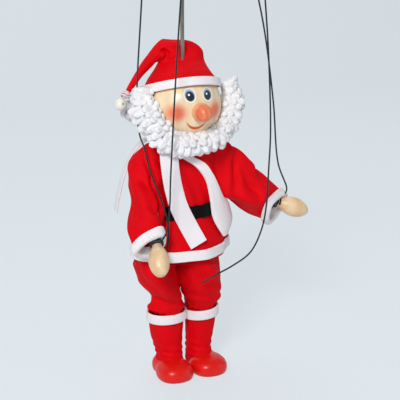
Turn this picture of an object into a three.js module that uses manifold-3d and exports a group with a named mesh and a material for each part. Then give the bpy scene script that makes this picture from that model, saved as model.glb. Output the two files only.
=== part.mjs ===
// A small hanging string puppet in a red suit: turned wooden head and hands, sewn cloth clothes,
// jointed wooden limbs inside them, a steel head rod and four control strings on a wooden control.
// Millimetres, +Z up. The puppet faces -Y, its own left side is at +X. Heights are counted from the
// soles; the finished group is lowered so that the seat inside the rod's hanging hook is the origin.
import * as THREE from "three";
import { mergeVertices } from "three/addons/utils/BufferGeometryUtils.js";
import Module from "manifold-3d";

const wasm = await Module();
wasm.setup();

// Driving dimensions
const gap = 0.3; // between pieces that touch
const cloth = 1.0; // suit cloth with its lining
const felt = 1.1; // white felt trim
const headRadius = 21;
const rodRadius = 1.1;
const coatWidth = 57; // at the hem
const coatDepth = 42;
const waistWidth = 41;
const waistDepth = 30;
const hemHeight = 71;
const waistHeight = 97;
const beltWidth = 7.5;
const trimWidth = 6;
const backLength = 30; // from the waist up to the shoulder pivots
const shoulderHeight = waistHeight + backLength;
const neckRise = 27; // from the shoulder pivots up to the middle of the head ball
const headHeight = shoulderHeight + neckRise;
const shoulderSpread = 36; // between the two shoulder pivots
const shoulderBack = 3; // behind the rod
const armLength = 50;
const armRadius = 2.2;
const handLength = 17.4; // the egg below the neck
const handWidth = 11.2;
const neckLength = 4;
const neckRadius = 2.6; // the hand's turned neck
const threadRadius = 0.45; // strings and ties
const hipHeight = 74;
const kneeHeight = 46;
const legSpread = 21; // between the two leg axes
const limbRadius = 3.6;
const pinRadius = 0.9;
const bootTop = 36;
const bootRadius = 8.8;
const ankleRadius = 7.4;
const footLength = 28.5;
const footWidth = 20.5;
const footHeight = 13.4;
const bandAngle = 17; // degrees the hat's band is tipped back
const beadRadius = 3.3;
const controlHeight = 228; // underside of the control
const controlThickness = 5;
const crossbarLength = 92;
const barWidth = 10;
const hookRadius = 7; // inside of the hanging hook

const colours = {
  redCloth: 0xd00a14,
  redPaint: 0xe0241c,
  whiteFelt: 0xf1eef0,
  yarn: 0xf5f3f5,
  blackFelt: 0x17181a,
  thread: 0x12242c,
  whiteThread: 0xf3dfe2,
  maple: 0xecc79b,
  beech: 0xd9ad7c,
  skin: 0xf6d9ae,
  nosePaint: 0xef8f62,
  steel: 0x9a968e,
  pearl: 0xf0ead8,
};
const materials = {};
for (const [name, color] of Object.entries(colours)) {
  const metal = name === "steel";
  const glossy = name === "redPaint" || name === "pearl";
  materials[name] = new THREE.MeshStandardMaterial({
    name,
    color,
    metalness: metal ? 0.9 : 0,
    roughness: metal || glossy ? 0.35 : 0.8,
  });
}

const puppet = new THREE.Group();
const at = (x, y, z) => new THREE.Vector3(x, y, z);
const lerp = THREE.MathUtils.lerp;

// Solids: a closed geometry becomes a manifold, and a manifold a geometry
function solid(geometry) {
  const bare = geometry.clone();
  bare.deleteAttribute("normal");
  bare.deleteAttribute("uv");
  const merged = mergeVertices(bare, 1e-4);
  return new wasm.Manifold(
    new wasm.Mesh({
      numProp: 3,
      vertProperties: new Float32Array(merged.attributes.position.array),
      triVerts: new Uint32Array(merged.index.array),
    }),
  );
}

function geometryOf(made) {
  const mesh = made.getMesh();
  const geometry = new THREE.BufferGeometry();
  geometry.setAttribute("position", new THREE.BufferAttribute(new Float32Array(mesh.vertProperties), 3));
  geometry.setIndex(new THREE.BufferAttribute(new Uint32Array(mesh.triVerts), 1));
  return geometry;
}

function add(name, shape, material) {
  const geometry = shape.isBufferGeometry ? shape : geometryOf(shape);
  const mesh = new THREE.Mesh(geometry, materials[material]);
  mesh.name = name;
  puppet.add(mesh);
  return mesh;
}

// The largest body that a trim leaves
function largest(made) {
  const bodies = made.decompose();
  return bodies.reduce((best, body) => (body.volume() > best.volume() ? body : best));
}

// A surface through rings of points. Open ends are capped; a looped one closes on its first ring.
function loft(rings, looped = false) {
  const count = rings[0].length;
  const points = rings.flat();
  const index = [];
  const last = looped ? rings.length : rings.length - 1;
  for (let i = 0; i < last; i++) {
    const low = i * count;
    const high = ((i + 1) % rings.length) * count;
    for (let j = 0; j < count; j++) {
      const k = (j + 1) % count;
      index.push(low + j, low + k, high + j, low + k, high + k, high + j);
    }
  }
  if (!looped) {
    for (const [ring, turned] of [[0, true], [rings.length - 1, false]]) {
      const centre = rings[ring].reduce((sum, p) => sum.add(p), at(0, 0, 0)).divideScalar(count);
      const middle = points.length;
      points.push(centre);
      for (let j = 0; j < count; j++) {
        const a = ring * count + j;
        const b = ring * count + ((j + 1) % count);
        index.push(...(turned ? [b, a, middle] : [a, b, middle]));
      }
    }
  }
  const geometry = new THREE.BufferGeometry();
  const flat = points.flatMap((p) => [p.x, p.y, p.z]);
  geometry.setAttribute("position", new THREE.Float32BufferAttribute(flat, 3));
  geometry.setIndex(index);
  return geometry;
}

// A wall between an outer and an inner stack of rings, open at both ends
const wall = (outer, inner) => loft([...outer, ...[...inner].reverse()], true);

// An ellipse of points about a centre, in the plane square to a direction
function ellipse(centre, along, halfWidth, halfDepth, count, wave = () => 0) {
  const t = along.clone().normalize();
  const level = Math.abs(t.z) > 0.999;
  const u = level ? at(1, 0, 0) : t.clone().cross(at(0, 0, 1)).normalize();
  const v = t.clone().cross(u);
  return Array.from({ length: count }, (_, i) => {
    const angle = (2 * Math.PI * i) / count;
    const push = wave(angle);
    return centre
      .clone()
      .addScaledVector(u, (halfWidth + push) * Math.cos(angle))
      .addScaledVector(v, (halfDepth + push) * Math.sin(angle));
  });
}

const level = (x, y, z, halfWidth, halfDepth, count, wave) =>
  ellipse(at(x, y, z), at(0, 0, 1), halfWidth, halfDepth, count, wave);

// A tube of round section along a curve
function tube(curve, radius, sides, steps) {
  const section = new THREE.Shape();
  for (let i = 0; i < sides; i++) {
    const angle = (2 * Math.PI * i) / sides;
    const x = radius * Math.cos(angle);
    const y = radius * Math.sin(angle);
    if (i === 0) section.moveTo(x, y);
    else section.lineTo(x, y);
  }
  section.closePath();
  return new THREE.ExtrudeGeometry(section, { steps, extrudePath: curve, curveSegments: 1 });
}

// A round bar between two points
function bar(from, to, radius, sides = 20) {
  const along = to.clone().sub(from);
  const geometry = new THREE.CylinderGeometry(radius, radius, along.length(), sides);
  geometry.applyQuaternion(new THREE.Quaternion().setFromUnitVectors(at(0, 1, 0), along.normalize()));
  const middle = from.clone().add(to).multiplyScalar(0.5);
  return geometry.translate(middle.x, middle.y, middle.z);
}

function block(x, y, z, width, depth, height) {
  return new THREE.BoxGeometry(width, depth, height).translate(x, y, z);
}

function ball(centre, rx, ry, rz, sides = 24, rows = 14) {
  return new THREE.SphereGeometry(1, sides, rows)
    .rotateX(Math.PI / 2)
    .scale(rx, ry, rz)
    .translate(centre.x, centre.y, centre.z);
}

// A turned piece: a profile of [radius, distance] pairs, set from a point along a direction
function turned(profile, from, along, sides = 18) {
  const geometry = new THREE.LatheGeometry(
    profile.map(([radius, distance]) => new THREE.Vector2(radius, distance)),
    sides,
  );
  const direction = along.clone().normalize();
  geometry.applyQuaternion(new THREE.Quaternion().setFromUnitVectors(at(0, 1, 0), direction));
  return geometry.translate(from.x, from.y, from.z);
}

// A thread wound round an axis: whole turns at a steady pitch, with straight ends square to it
const windingGap = 0.5;
function winding(centre, along, radius, turns, lead) {
  const t = along.clone().normalize();
  const u = t.clone().cross(at(0, 0, 1)).normalize();
  const v = t.clone().cross(u);
  const pitch = 2 * threadRadius + windingGap;
  const steps = 24 * turns;
  const points = [];
  for (let i = 0; i <= steps; i++) {
    const angle = (2 * Math.PI * i) / 24;
    points.push(
      centre
        .clone()
        .addScaledVector(u, radius * Math.cos(angle))
        .addScaledVector(v, radius * Math.sin(angle))
        .addScaledVector(t, pitch * (i / 24 - turns / 2)),
    );
  }
  const first = points[1].clone().sub(points[0]).normalize();
  const final = points[steps].clone().sub(points[steps - 1]).normalize();
  points.unshift(points[0].clone().addScaledVector(first, -lead));
  points.push(points[steps + 1].clone().addScaledVector(final, lead));
  reportGap(points);
  return tube(new THREE.CatmullRomCurve3(points), threadRadius, 6, steps + 2);
}

// The least distance between points of one winding that are more than half a turn apart
function reportGap(points) {
  let least = Infinity;
  for (let i = 0; i < points.length; i++)
    for (let j = i + 12; j < points.length; j++) least = Math.min(least, points[i].distanceTo(points[j]));
  console.log("winding's least gap to itself " + (least - 2 * threadRadius).toFixed(2) + " mm");
}

// Coat: rings from the hem to the neck, with soft folds below the belt
const neckTop = headHeight - headRadius - gap; // the torso's top, right under the head ball
const neckHole = 6.6;
const coatSides = 26;
const foldDepth = 0.9;
const coatLevels = [
  [hemHeight, coatWidth / 2, coatDepth / 2],
  [lerp(hemHeight, waistHeight, 0.25), coatWidth / 2 - 1, coatDepth / 2 - 0.9],
  [
    lerp(hemHeight, waistHeight, 0.55),
    lerp(coatWidth, waistWidth, 0.52) / 2,
    lerp(coatDepth, waistDepth, 0.52) / 2,
  ],
  [waistHeight - beltWidth / 2 - 1, waistWidth / 2 + 0.8, waistDepth / 2 + 0.6],
  [waistHeight, waistWidth / 2, waistDepth / 2],
  [waistHeight + beltWidth / 2 + 1, waistWidth / 2 + 0.5, waistDepth / 2 + 0.5],
  [lerp(waistHeight, shoulderHeight, 0.55), waistWidth / 2 + 2, waistDepth / 2],
  [shoulderHeight - 4, shoulderSpread / 2 + 5.4, waistDepth / 2 - 2],
  [shoulderHeight + 2, shoulderSpread / 2 + 3.6, waistDepth / 2 - 4],
  [neckTop - 0.4, shoulderSpread / 2 - 2, waistDepth / 2 - 6.4],
  [neckTop + 1, neckHole + cloth + 1.5, neckHole + cloth + 0.4],
];

function coatRing(z, halfWidth, halfDepth, offset) {
  const drop = Math.max(0, (waistHeight - z) / (waistHeight - hemHeight));
  const fold = (angle) => foldDepth * drop * Math.sin(6 * angle + 0.7) + offset;
  return level(-2 * drop, 0, z, halfWidth, halfDepth, coatSides, fold);
}

// The coat's half sizes at any height, between the levels above
function coatAt(z) {
  const inside = Math.min(Math.max(z, coatLevels[0][0]), coatLevels.at(-1)[0]);
  const upper = Math.max(1, coatLevels.findIndex(([height]) => height >= inside));
  const [lowZ, lowWidth, lowDepth] = coatLevels[upper - 1];
  const [highZ, highWidth, highDepth] = coatLevels[upper];
  const share = (inside - lowZ) / (highZ - lowZ);
  return [lerp(lowWidth, highWidth, share), lerp(lowDepth, highDepth, share)];
}

const coatStack = (offset) => coatLevels.map(([z, width, depth]) => coatRing(z, width, depth, offset));
// Everything inside the coat, grown so that what lies on it keeps its gap
const coatSpace = solid(loft(coatStack(gap)));

function coatBand(low, high, inside, outside) {
  const heights = [low, (low + high) / 2, high];
  const stack = (offset) => heights.map((z) => coatRing(z, ...coatAt(z), offset));
  return solid(wall(stack(outside), stack(inside)));
}

// Arms: straight sticks from the shoulder pivots, the left one lifted by its string
const shoulders = {
  left: at(shoulderSpread / 2, shoulderBack, shoulderHeight),
  right: at(-shoulderSpread / 2, shoulderBack, shoulderHeight),
};
const armWays = { left: at(0.74, -0.17, -0.65).normalize(), right: at(-0.17, -0.55, -0.8).normalize() };
const handWays = { left: at(0.89, -0.2, -0.36).normalize(), right: at(-0.2, -0.75, -0.63).normalize() };
const wrists = {};
for (const side of ["left", "right"])
  wrists[side] = shoulders[side].clone().addScaledVector(armWays[side], armLength);

// Sleeves: wide cloth tubes on a drooping line, given from the shoulder pivot and from the wrist.
// Towards the hand their rings turn to the way that the mouth faces.
const sleeves = {
  left: {
    line: [at(-3, -2, -7), at(5.5, -4, -13.5), at(15, -6.6, -20.5), at(25, -8.4, -28)],
    end: at(1, 0.5, -4.4),
    mouth: at(0.66, -0.62, -0.42),
    widths: [9.6, 10, 10.4, 10, 9.8],
    heights: [14.5, 13.4, 12.2, 11.2, 9.8],
  },
  right: {
    line: [
      at(3, -1, -4),
      at(-2.5, -2.4, -7.5),
      at(-7.4, -6.6, -16),
      at(-9, -14.4, -25.6),
      at(-10.6, -20, -33.6),
    ],
    end: at(-2.4, 2, -0.6),
    mouth: at(0.15, -0.82, -0.55),
    widths: [10, 10.4, 9.8, 9.2, 8.8, 8.9],
    heights: [10.5, 10.8, 10, 9.2, 8.8, 8.9],
  },
};
const sleeveSides = 18;

function sleeveRing(side, share, offset) {
  const { line, end, mouth, widths, heights } = sleeves[side];
  const points = line.map((p) => p.clone().add(shoulders[side]));
  points.push(wrists[side].clone().add(end));
  const curve = new THREE.CatmullRomCurve3(points);
  const place = Math.min(share, 1) * (widths.length - 1);
  const i = Math.min(Math.floor(place), widths.length - 2);
  const turn = Math.min(Math.max(0, (share - 0.6) / 0.4), 1);
  const t = curve.getTangent(Math.min(share, 1)).lerp(mouth, turn).normalize();
  const centre = curve.getPoint(Math.min(share, 1)).addScaledVector(t, Math.max(0, share - 1) * armLength);
  const width = lerp(widths[i], widths[i + 1], place - i) + offset;
  const height = lerp(heights[i], heights[i + 1], place - i) + offset;
  const fold = (angle) => 0.35 * Math.sin(5 * angle + 9 * share);
  return ellipse(centre, t, width, height, sleeveSides, fold);
}

function sleeveStack(side, low, high, count, offset) {
  return Array.from({ length: count }, (_, i) => sleeveRing(side, lerp(low, high, i / (count - 1)), offset));
}

// Strings: routes chosen by hand, from the control down to the wrists and knees
const barForward = -30; // the crossbar lies in front of the rod
const knots = {
  rightHand: at(-13, barForward, controlHeight),
  leftHand: at(25.7, barForward, controlHeight),
  rightKnee: at(-34.2, barForward, controlHeight),
  leftKnee: at(32.1, barForward, controlHeight),
};
const tieRadius = neckRadius + gap + threadRadius;
const tiePlace = 0.25 * neckLength;
const ties = {};
for (const side of ["left", "right"])
  ties[side] = wrists[side].clone().addScaledVector(handWays[side], tiePlace);
const tieOut = tieRadius + 2 * threadRadius + gap;
const routes = {
  right_hand_string: [
    ties.right.clone().add(at(0.45, -0.64, 0.62).multiplyScalar(tieOut)),
    at(-23.2, -29, 90.8), at(-21.4, -28.2, 95), at(-19.4, -26.4, 106),
    at(-18.4, -25.4, 120), at(-15.7, -27.8, 180), knots.rightHand,
  ],
  left_hand_string: [
    ties.left.clone().add(at(1.2, 0, tieOut)), at(61, -7, 98.4), at(61.8, -7.4, 101),
    at(53.8, -11, 118), at(46.4, -17.5, 155), at(36, -25, 196), knots.leftHand,
  ],
  right_knee_string: [
    at(-20, -13.9, 66.2), at(-20.4, -17.6, 67.6), at(-20.2, -20.4, 71), at(-19.4, -20.6, 76),
    at(-17, -18.4, 84), at(-16.4, -17.2, 92), at(-20, -20, 103), at(-22.6, -18.6, 112),
    at(-25.4, -13.4, 124), at(-25.6, -7.5, 133.4), at(-24.4, 2, 138.6), at(-23.8, 7, 147),
    at(-24.6, 5.6, 158), at(-26.2, 0.2, 167), at(-27.4, -4, 176), at(-30.6, -17, 204), knots.rightKnee,
  ],
  left_knee_string: [
    at(3.4, -18.6, 56.5), at(5, -20.2, 58.4), at(9, -25, 63), at(17, -27.5, 67.4),
    at(28, -28, 74), at(35, -27.5, 86), at(38.4, -26.6, 100), at(39.6, -26, 118),
    at(40.4, -26, 140), at(37.2, -28, 184), knots.leftKnee,
  ],
};
const stringCurves = {};
for (const [name, points] of Object.entries(routes)) {
  const top = points.at(-1);
  const route = [...points.slice(0, -1), top.clone().setZ(top.z - gap)];
  stringCurves[name] = new THREE.CatmullRomCurve3(route, false, "centripetal");
}
const stringSteps = {
  right_hand_string: 30,
  left_hand_string: 30,
  right_knee_string: 52,
  left_knee_string: 46,
};

function stringSpace(name) {
  const curve = stringCurves[name];
  return solid(tube(curve, threadRadius + gap, 6, stringSteps[name]));
}

// Control: a wooden cross above the view, and the steel rod that carries the puppet
const spineLength = 46;
const boltRadius = 1.6;
const controlMiddle = controlHeight + controlThickness / 2;
const rodHole = rodRadius + gap;
const hookRise = 12; // the hook's opening above the control
const hookSeat = controlHeight + controlThickness + hookRise + 2 * hookRadius;
const controlTop = controlHeight + controlThickness;
const spineMiddle = barForward + spineLength / 2 - 6;
let spine = solid(block(0, spineMiddle, controlMiddle, barWidth, spineLength, controlThickness));
const lapHeight = controlThickness / 2;
const lapLow = controlHeight + lapHeight / 2;
const lap = block(0, barForward, lapLow, barWidth + 4, barWidth + 2 * gap, lapHeight + 2 * gap);
spine = spine.subtract(solid(lap));
spine = spine.subtract(solid(bar(at(0, 0, controlHeight - 1), at(0, 0, controlTop + 1), rodHole)));
let crossbar = solid(block(0, barForward, controlMiddle, crossbarLength, barWidth, controlThickness));
const lapHigh = controlHeight + 1.5 * lapHeight;
const topLap = block(0, barForward, lapHigh, barWidth + 2 * gap, barWidth + 4, lapHeight + gap);
crossbar = crossbar.subtract(solid(topLap));
const boltHole = solid(
  bar(at(0, barForward, controlHeight - 1), at(0, barForward, controlTop + 1), boltRadius + gap),
);
spine = spine.subtract(boltHole);
crossbar = crossbar.subtract(boltHole);
add("control_spine", spine, "beech");
add("control_crossbar", crossbar, "beech");
const boltHead = 3.2;
const bolt = solid(
  turned(
    [
      [0, -gap],
      [boltRadius, -gap],
      [boltRadius, controlThickness + gap],
      [boltHead, controlThickness + gap],
      [boltHead * 0.8, controlThickness + 1.4],
      [0, controlThickness + 2],
    ],
    at(0, barForward, controlHeight),
    at(0, 0, 1),
    20,
  ),
);
add("control_rivet", bolt, "steel");

const rodFoot = neckTop - 34;
const hookCentre = at(0, 0, hookSeat - hookRadius);
const hookTurn = hookRadius + rodRadius;
const rodRing = (centre, angle) =>
  Array.from({ length: 10 }, (_, i) => {
    const turn = (2 * Math.PI * i) / 10;
    const out = at(Math.cos(angle), 0, Math.sin(angle)).multiplyScalar(rodRadius * Math.cos(turn));
    return centre.clone().add(out).add(at(0, rodRadius * Math.sin(turn), 0));
  });
const rodRings = [rodRing(at(0, 0, rodFoot), 0)];
// The stem bends aside by 60 degrees and runs on into the hook, whose centre is right above it
const bend = Math.PI / 3;
const stemTop = hookCentre.z - 2 * hookTurn * Math.sin(bend);
for (let i = 0; i <= 4; i++) {
  const angle = (bend * i) / 4;
  const aside = at(hookTurn * (1 - Math.cos(angle)), 0, stemTop + hookTurn * Math.sin(angle));
  rodRings.push(rodRing(aside, -angle));
}
for (let i = 1; i <= 18; i++) {
  const angle = -bend + (i / 18) * 1.58 * Math.PI;
  const arc = at(Math.cos(angle) * hookTurn, 0, Math.sin(angle) * hookTurn);
  rodRings.push(rodRing(arc.add(hookCentre), angle));
}
add("head_rod", loft(rodRings), "steel");

// Head: a turned ball with a bore for the rod, and a pegged nose
const headCentre = at(0, 0, headHeight);
const rodBore = solid(bar(at(0, 0, rodFoot - 1), at(0, 0, headHeight + headRadius + 1), rodHole, 10));
const noseHeight = headHeight - 0.5;
const noseFrom = at(0.6, -headRadius + 3, noseHeight);
const noseWay = at(0.04, -1, 0.02);
const nosePeg = 3;
const noseBase = 5.1;
const noseTip = 4.4;
let head = solid(ball(headCentre, headRadius, headRadius, headRadius, 24, 14)).subtract(rodBore);
const pegHole = nosePeg + gap;
head = head.subtract(solid(turned([[0, -gap], [pegHole, -gap], [pegHole, 6], [0, 6]], noseFrom, noseWay)));
add("head_ball", head, "skin");
const noseShape = turned(
  [
    [0, 0], [nosePeg, 0], [nosePeg, 2.4], [noseBase - 0.6, 2.8], [noseBase, 3.8],
    [noseBase - 0.1, 5], [noseTip, 6.2], [noseTip + 0.1, 7.6], [noseTip * 0.93, 9.2],
    [noseTip * 0.74, 10.6], [noseTip * 0.42, 11.6], [0, 12],
  ],
  noseFrom,
  noseWay,
);
const headSpace = solid(ball(headCentre, headRadius + gap, headRadius + gap, headRadius + gap, 24, 14));
const noseWhole = solid(noseShape);
const pegPart = solid(turned([[0, 0], [nosePeg, 0], [nosePeg, 5], [0, 5]], noseFrom, noseWay));
add("nose", noseWhole.subtract(headSpace).add(pegPart), "nosePaint");

// Hat: a cloth cap whose cone rises behind the rod, folds and falls to the puppet's right
const bandCentre = headCentre.clone().addScaledVector(at(0, 0.25, 1).normalize(), 9.6);
const bandTip = THREE.MathUtils.degToRad(bandAngle);
const bandUp = at(0, Math.sin(bandTip), Math.cos(bandTip));
const capRadius = headRadius - 1.6;
const tasselTop = at(-29.6, 4.5, headHeight + 8.9);
// Each ring of the hat: its centre, the way the cloth runs there, its half width and its half depth.
// Above the band the rings fan round the crease at the left, where the cone folds over into its tail.
const hatStations = [
  [bandCentre, bandUp, capRadius + 2.3, capRadius + 2.3],
  [bandCentre.clone().addScaledVector(bandUp, 6), bandUp, capRadius - 0.5, capRadius - 1],
  [at(0.4, 7, headHeight + 21.8), at(-0.04, 0.12, 1), 13.5, 10.4],
  [at(-0.4, 8, headHeight + 25.4), at(-0.21, 0, 0.98), 12.5, 8.6],
  [at(-3.1, 8, headHeight + 28.2), at(-0.47, 0, 0.88), 10.3, 7.5],
  [at(-6.5, 8, headHeight + 29.4), at(-0.71, 0, 0.7), 7.8, 6.5],
  [at(-10.7, 8, headHeight + 29.4), at(-0.965, 0, 0.26), 5.7, 5.4],
  [at(-14.2, 7.4, headHeight + 26.2), at(-0.93, -0.1, -0.36), 3.6, 4.4],
  [at(-18.4, 6.6, headHeight + 21.4), at(-0.69, -0.12, -0.72), 2.8, 3.4],
  [at(-23.7, 5.6, headHeight + 16.2), at(-0.69, -0.14, -0.72), 2.3, 2.6],
  [tasselTop, at(-0.6, -0.1, -0.8), 1.7, 1.7],
];
const hatSides = 24;
const hatRings = (grow) =>
  hatStations.map(([centre, along, halfWidth, halfDepth]) => {
    const way = along.clone().normalize();
    const u = at(0, 1, 0).cross(way).normalize();
    const v = way.clone().cross(u);
    return Array.from({ length: hatSides }, (_, j) => {
      const angle = (2 * Math.PI * j) / hatSides;
      return centre
        .clone()
        .addScaledVector(u, (halfWidth + grow) * Math.cos(angle))
        .addScaledVector(v, (halfDepth + grow) * Math.sin(angle));
    });
  });
const hatRod = solid(bar(at(0, 0, headHeight), at(0, 0, controlHeight), rodHole, 10));
const hat = solid(loft(hatRings(0))).subtract(headSpace).subtract(hatRod);
add("hat", largest(hat), "redCloth");

const bandRing = (along, radius) =>
  ellipse(bandCentre.clone().addScaledVector(bandUp, along), bandUp, radius, radius, 36);
const bandHeight = 4.8;
const bandInner = capRadius + 2.3 + gap;
const bandTrim = wall(
  [bandRing(-bandHeight / 2, bandInner + felt), bandRing(bandHeight / 2, bandInner + felt)],
  [bandRing(-bandHeight / 2, bandInner), bandRing(bandHeight / 2, bandInner)],
);
add("hat_band", solid(bandTrim).subtract(headSpace), "whiteFelt");

const tailWay = at(-0.6, -0.1, -0.8).normalize();
const tieCentre = tasselTop.clone().addScaledVector(tailWay, 2.6);
const tailEnd = tasselTop.clone().addScaledVector(tailWay, gap);
const tail = turned([[0, 0], [1.5, 0], [1.3, 3.4], [0.5, 4.6], [0, 4.6]], tailEnd, tailWay, 12);
const beadCentre = tailEnd.clone().addScaledVector(tailWay, 4.6 + gap + beadRadius);
const beadRod = solid(ball(beadCentre, beadRadius, beadRadius, beadRadius, 14, 9));
add("hat_tassel_knot", solid(tail), "whiteThread");
const tailWinding = winding(tieCentre, tailWay, 1.5 + gap + threadRadius, 2, 2 * threadRadius);
add("hat_tassel_thread", tailWinding, "whiteThread");
add("hat_bead", beadRod, "pearl");

// Yarn hair and beard: thick lumpy rolls round the head, trimmed to what they lie on
function yarnRoll(stations, grow, lumps) {
  const curve = new THREE.CatmullRomCurve3(stations.map(([centre]) => centre));
  const count = 22;
  const rings = Array.from({ length: count + 1 }, (_, i) => {
    const share = i / count;
    const place = share * (stations.length - 1);
    const k = Math.min(Math.floor(place), stations.length - 2);
    const size = lerp(stations[k][1], stations[k + 1][1], place - k) + grow;
    const swell = 0.5 * Math.sin(lumps * share * Math.PI);
    const lump = (angle) => swell * Math.sin(3 * angle + lumps * share * Math.PI * 2);
    return ellipse(curve.getPoint(share), curve.getTangent(share), size, size, 14, lump);
  });
  return solid(loft(rings));
}
const beardStations = [
  [at(-24.6, -3, headHeight + 12.4), 4.6],
  [at(-27, -4.6, headHeight + 3), 7.8],
  [at(-24.6, -8, headHeight - 9.5), 7.8],
  [at(-14.6, -14.6, headHeight - 17.2), 6.9],
  [at(0, -17.4, headHeight - 18.4), 6.6],
  [at(14, -14.6, headHeight - 17.2), 6.9],
  [at(25.4, -7.4, headHeight - 10.4), 7.8],
  [at(29, -3, headHeight + 1), 7.8],
  [at(26.6, -1, headHeight + 11.4), 4.8],
];
const handString = stringSpace("right_hand_string");
const bandOuter = bandInner + felt + gap;
const bandSpace = solid(
  loft([bandRing(-bandHeight / 2 - gap, bandOuter), bandRing(bandHeight / 2 + gap, bandOuter)]),
);
const tasselSpace = solid(bar(tasselTop, beadCentre, 1.5 + 2 * threadRadius + 2 * gap, 14))
  .add(solid(ball(beadCentre, beadRadius + gap, beadRadius + gap, beadRadius + gap, 14, 9)))
  .add(solid(loft(hatRings(gap))));
let beard = yarnRoll(beardStations, 0, 9).subtract(bandSpace).subtract(tasselSpace);
beard = beard.subtract(headSpace).subtract(coatSpace).subtract(handString);
beard = beard.subtract(stringSpace("right_knee_string"));
add("beard", largest(beard), "yarn");
const hairStations = [
  [at(-27, 9.5, headHeight - 2), 5],
  [at(-23, 17, headHeight - 4), 6.4],
  [at(-12.6, 23, headHeight - 6), 6.8],
  [at(0, 25.2, headHeight - 6.5), 7],
  [at(12.6, 23, headHeight - 6), 6.8],
  [at(23, 17, headHeight - 4), 6.4],
  [at(27, 9.5, headHeight - 2), 5],
];
const beardSpace = yarnRoll(beardStations, gap, 9);
let hair = yarnRoll(hairStations, 0, 8);
hair = hair.subtract(headSpace).subtract(beardSpace).subtract(bandSpace);
hair = hair.subtract(stringSpace("right_knee_string"));
add("hair", largest(hair), "yarn");

// Torso: a wooden block with a socket for the rod, a cord hole at the shoulders and two hip slots
const torsoWidth = 30;
const torsoDepth = 13;
const torsoFoot = hipHeight - 6;
const slotWidth = 3.4;
const tongue = slotWidth - 2 * gap;
const slotDepth = hipHeight - torsoFoot + 4.6;
const torsoRings = [
  [torsoFoot, 1],
  [hipHeight + 5, 1],
  [waistHeight, 0.84],
  [shoulderHeight - 8, 0.92],
  [shoulderHeight + 3, 0.8],
].map(([z, share]) => level(0, 0, z, (torsoWidth / 2) * share, (torsoDepth / 2) * share, 20));
torsoRings.push(level(0, 0, neckTop - 0.6, 9.4, 6.6, 20), level(0, 0, neckTop, 8.8, 6.4, 20));
const cordRadius = 0.8;
const cordHole = cordRadius + gap;
const pinHole = pinRadius + gap;
let torso = solid(loft(torsoRings)).subtract(rodBore);
const acrossShoulders = (half, radius) =>
  solid(bar(at(-half, shoulderBack, shoulderHeight), at(half, shoulderBack, shoulderHeight), radius, 12));
torso = torso.subtract(acrossShoulders(torsoWidth, cordHole));
torso = torso.subtract(solid(bar(at(-torsoWidth, 0, hipHeight), at(torsoWidth, 0, hipHeight), pinHole, 12)));
const slotMiddle = torsoFoot + slotDepth / 2 - 0.5;
for (const x of [-legSpread / 2, legSpread / 2])
  torso = torso.subtract(solid(block(x, 0, slotMiddle, slotWidth, torsoDepth + 2, slotDepth + 1)));
add("torso_block", torso, "beech");
const hipPinHalf = torsoWidth / 2 - 1;
add("hip_pin", bar(at(-hipPinHalf, 0, hipHeight), at(hipPinHalf, 0, hipHeight), pinRadius, 12), "steel");

const knotRadius = 1.7;
const cordHalf = shoulderSpread / 2 + armRadius + gap;
const cordLine = acrossShoulders(cordHalf + 0.5, cordRadius);
const knotAt = (x) =>
  solid(ball(at(x, shoulderBack, shoulderHeight), knotRadius, knotRadius, knotRadius, 10, 6));
add("shoulder_cord", cordLine.add(knotAt(cordHalf + 1.2)).add(knotAt(-cordHalf - 1.2)), "thread");

// Coat, belt and trim
const armSpace = {};
for (const side of ["left", "right"]) {
  const from = shoulders[side].clone().addScaledVector(armWays[side], -3);
  const to = shoulders[side].clone().addScaledVector(armWays[side], armLength * 0.62);
  armSpace[side] = solid(bar(from, to, armRadius + 2.6, 20)).add(
    solid(ball(shoulders[side], knotRadius + 3.6, knotRadius + 3, knotRadius + 2.6, 18, 12)),
  );
}
let coat = solid(wall(coatStack(0), coatStack(-cloth)));
coat = coat.subtract(armSpace.left).subtract(armSpace.right);
add("coat", largest(coat), "redCloth");
const beltLow = waistHeight - beltWidth / 2;
add("belt", coatBand(beltLow, beltLow + beltWidth, gap, gap + felt), "blackFelt");
const hemTrim = coatBand(hemHeight, hemHeight + trimWidth, gap, gap + felt);
const beltSpace = coatBand(beltLow - gap, beltLow + beltWidth + gap, 0, 2 * gap + felt);
const hemSpace = coatBand(hemHeight - gap, hemHeight + trimWidth + gap, 0, 2 * gap + felt);

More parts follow.
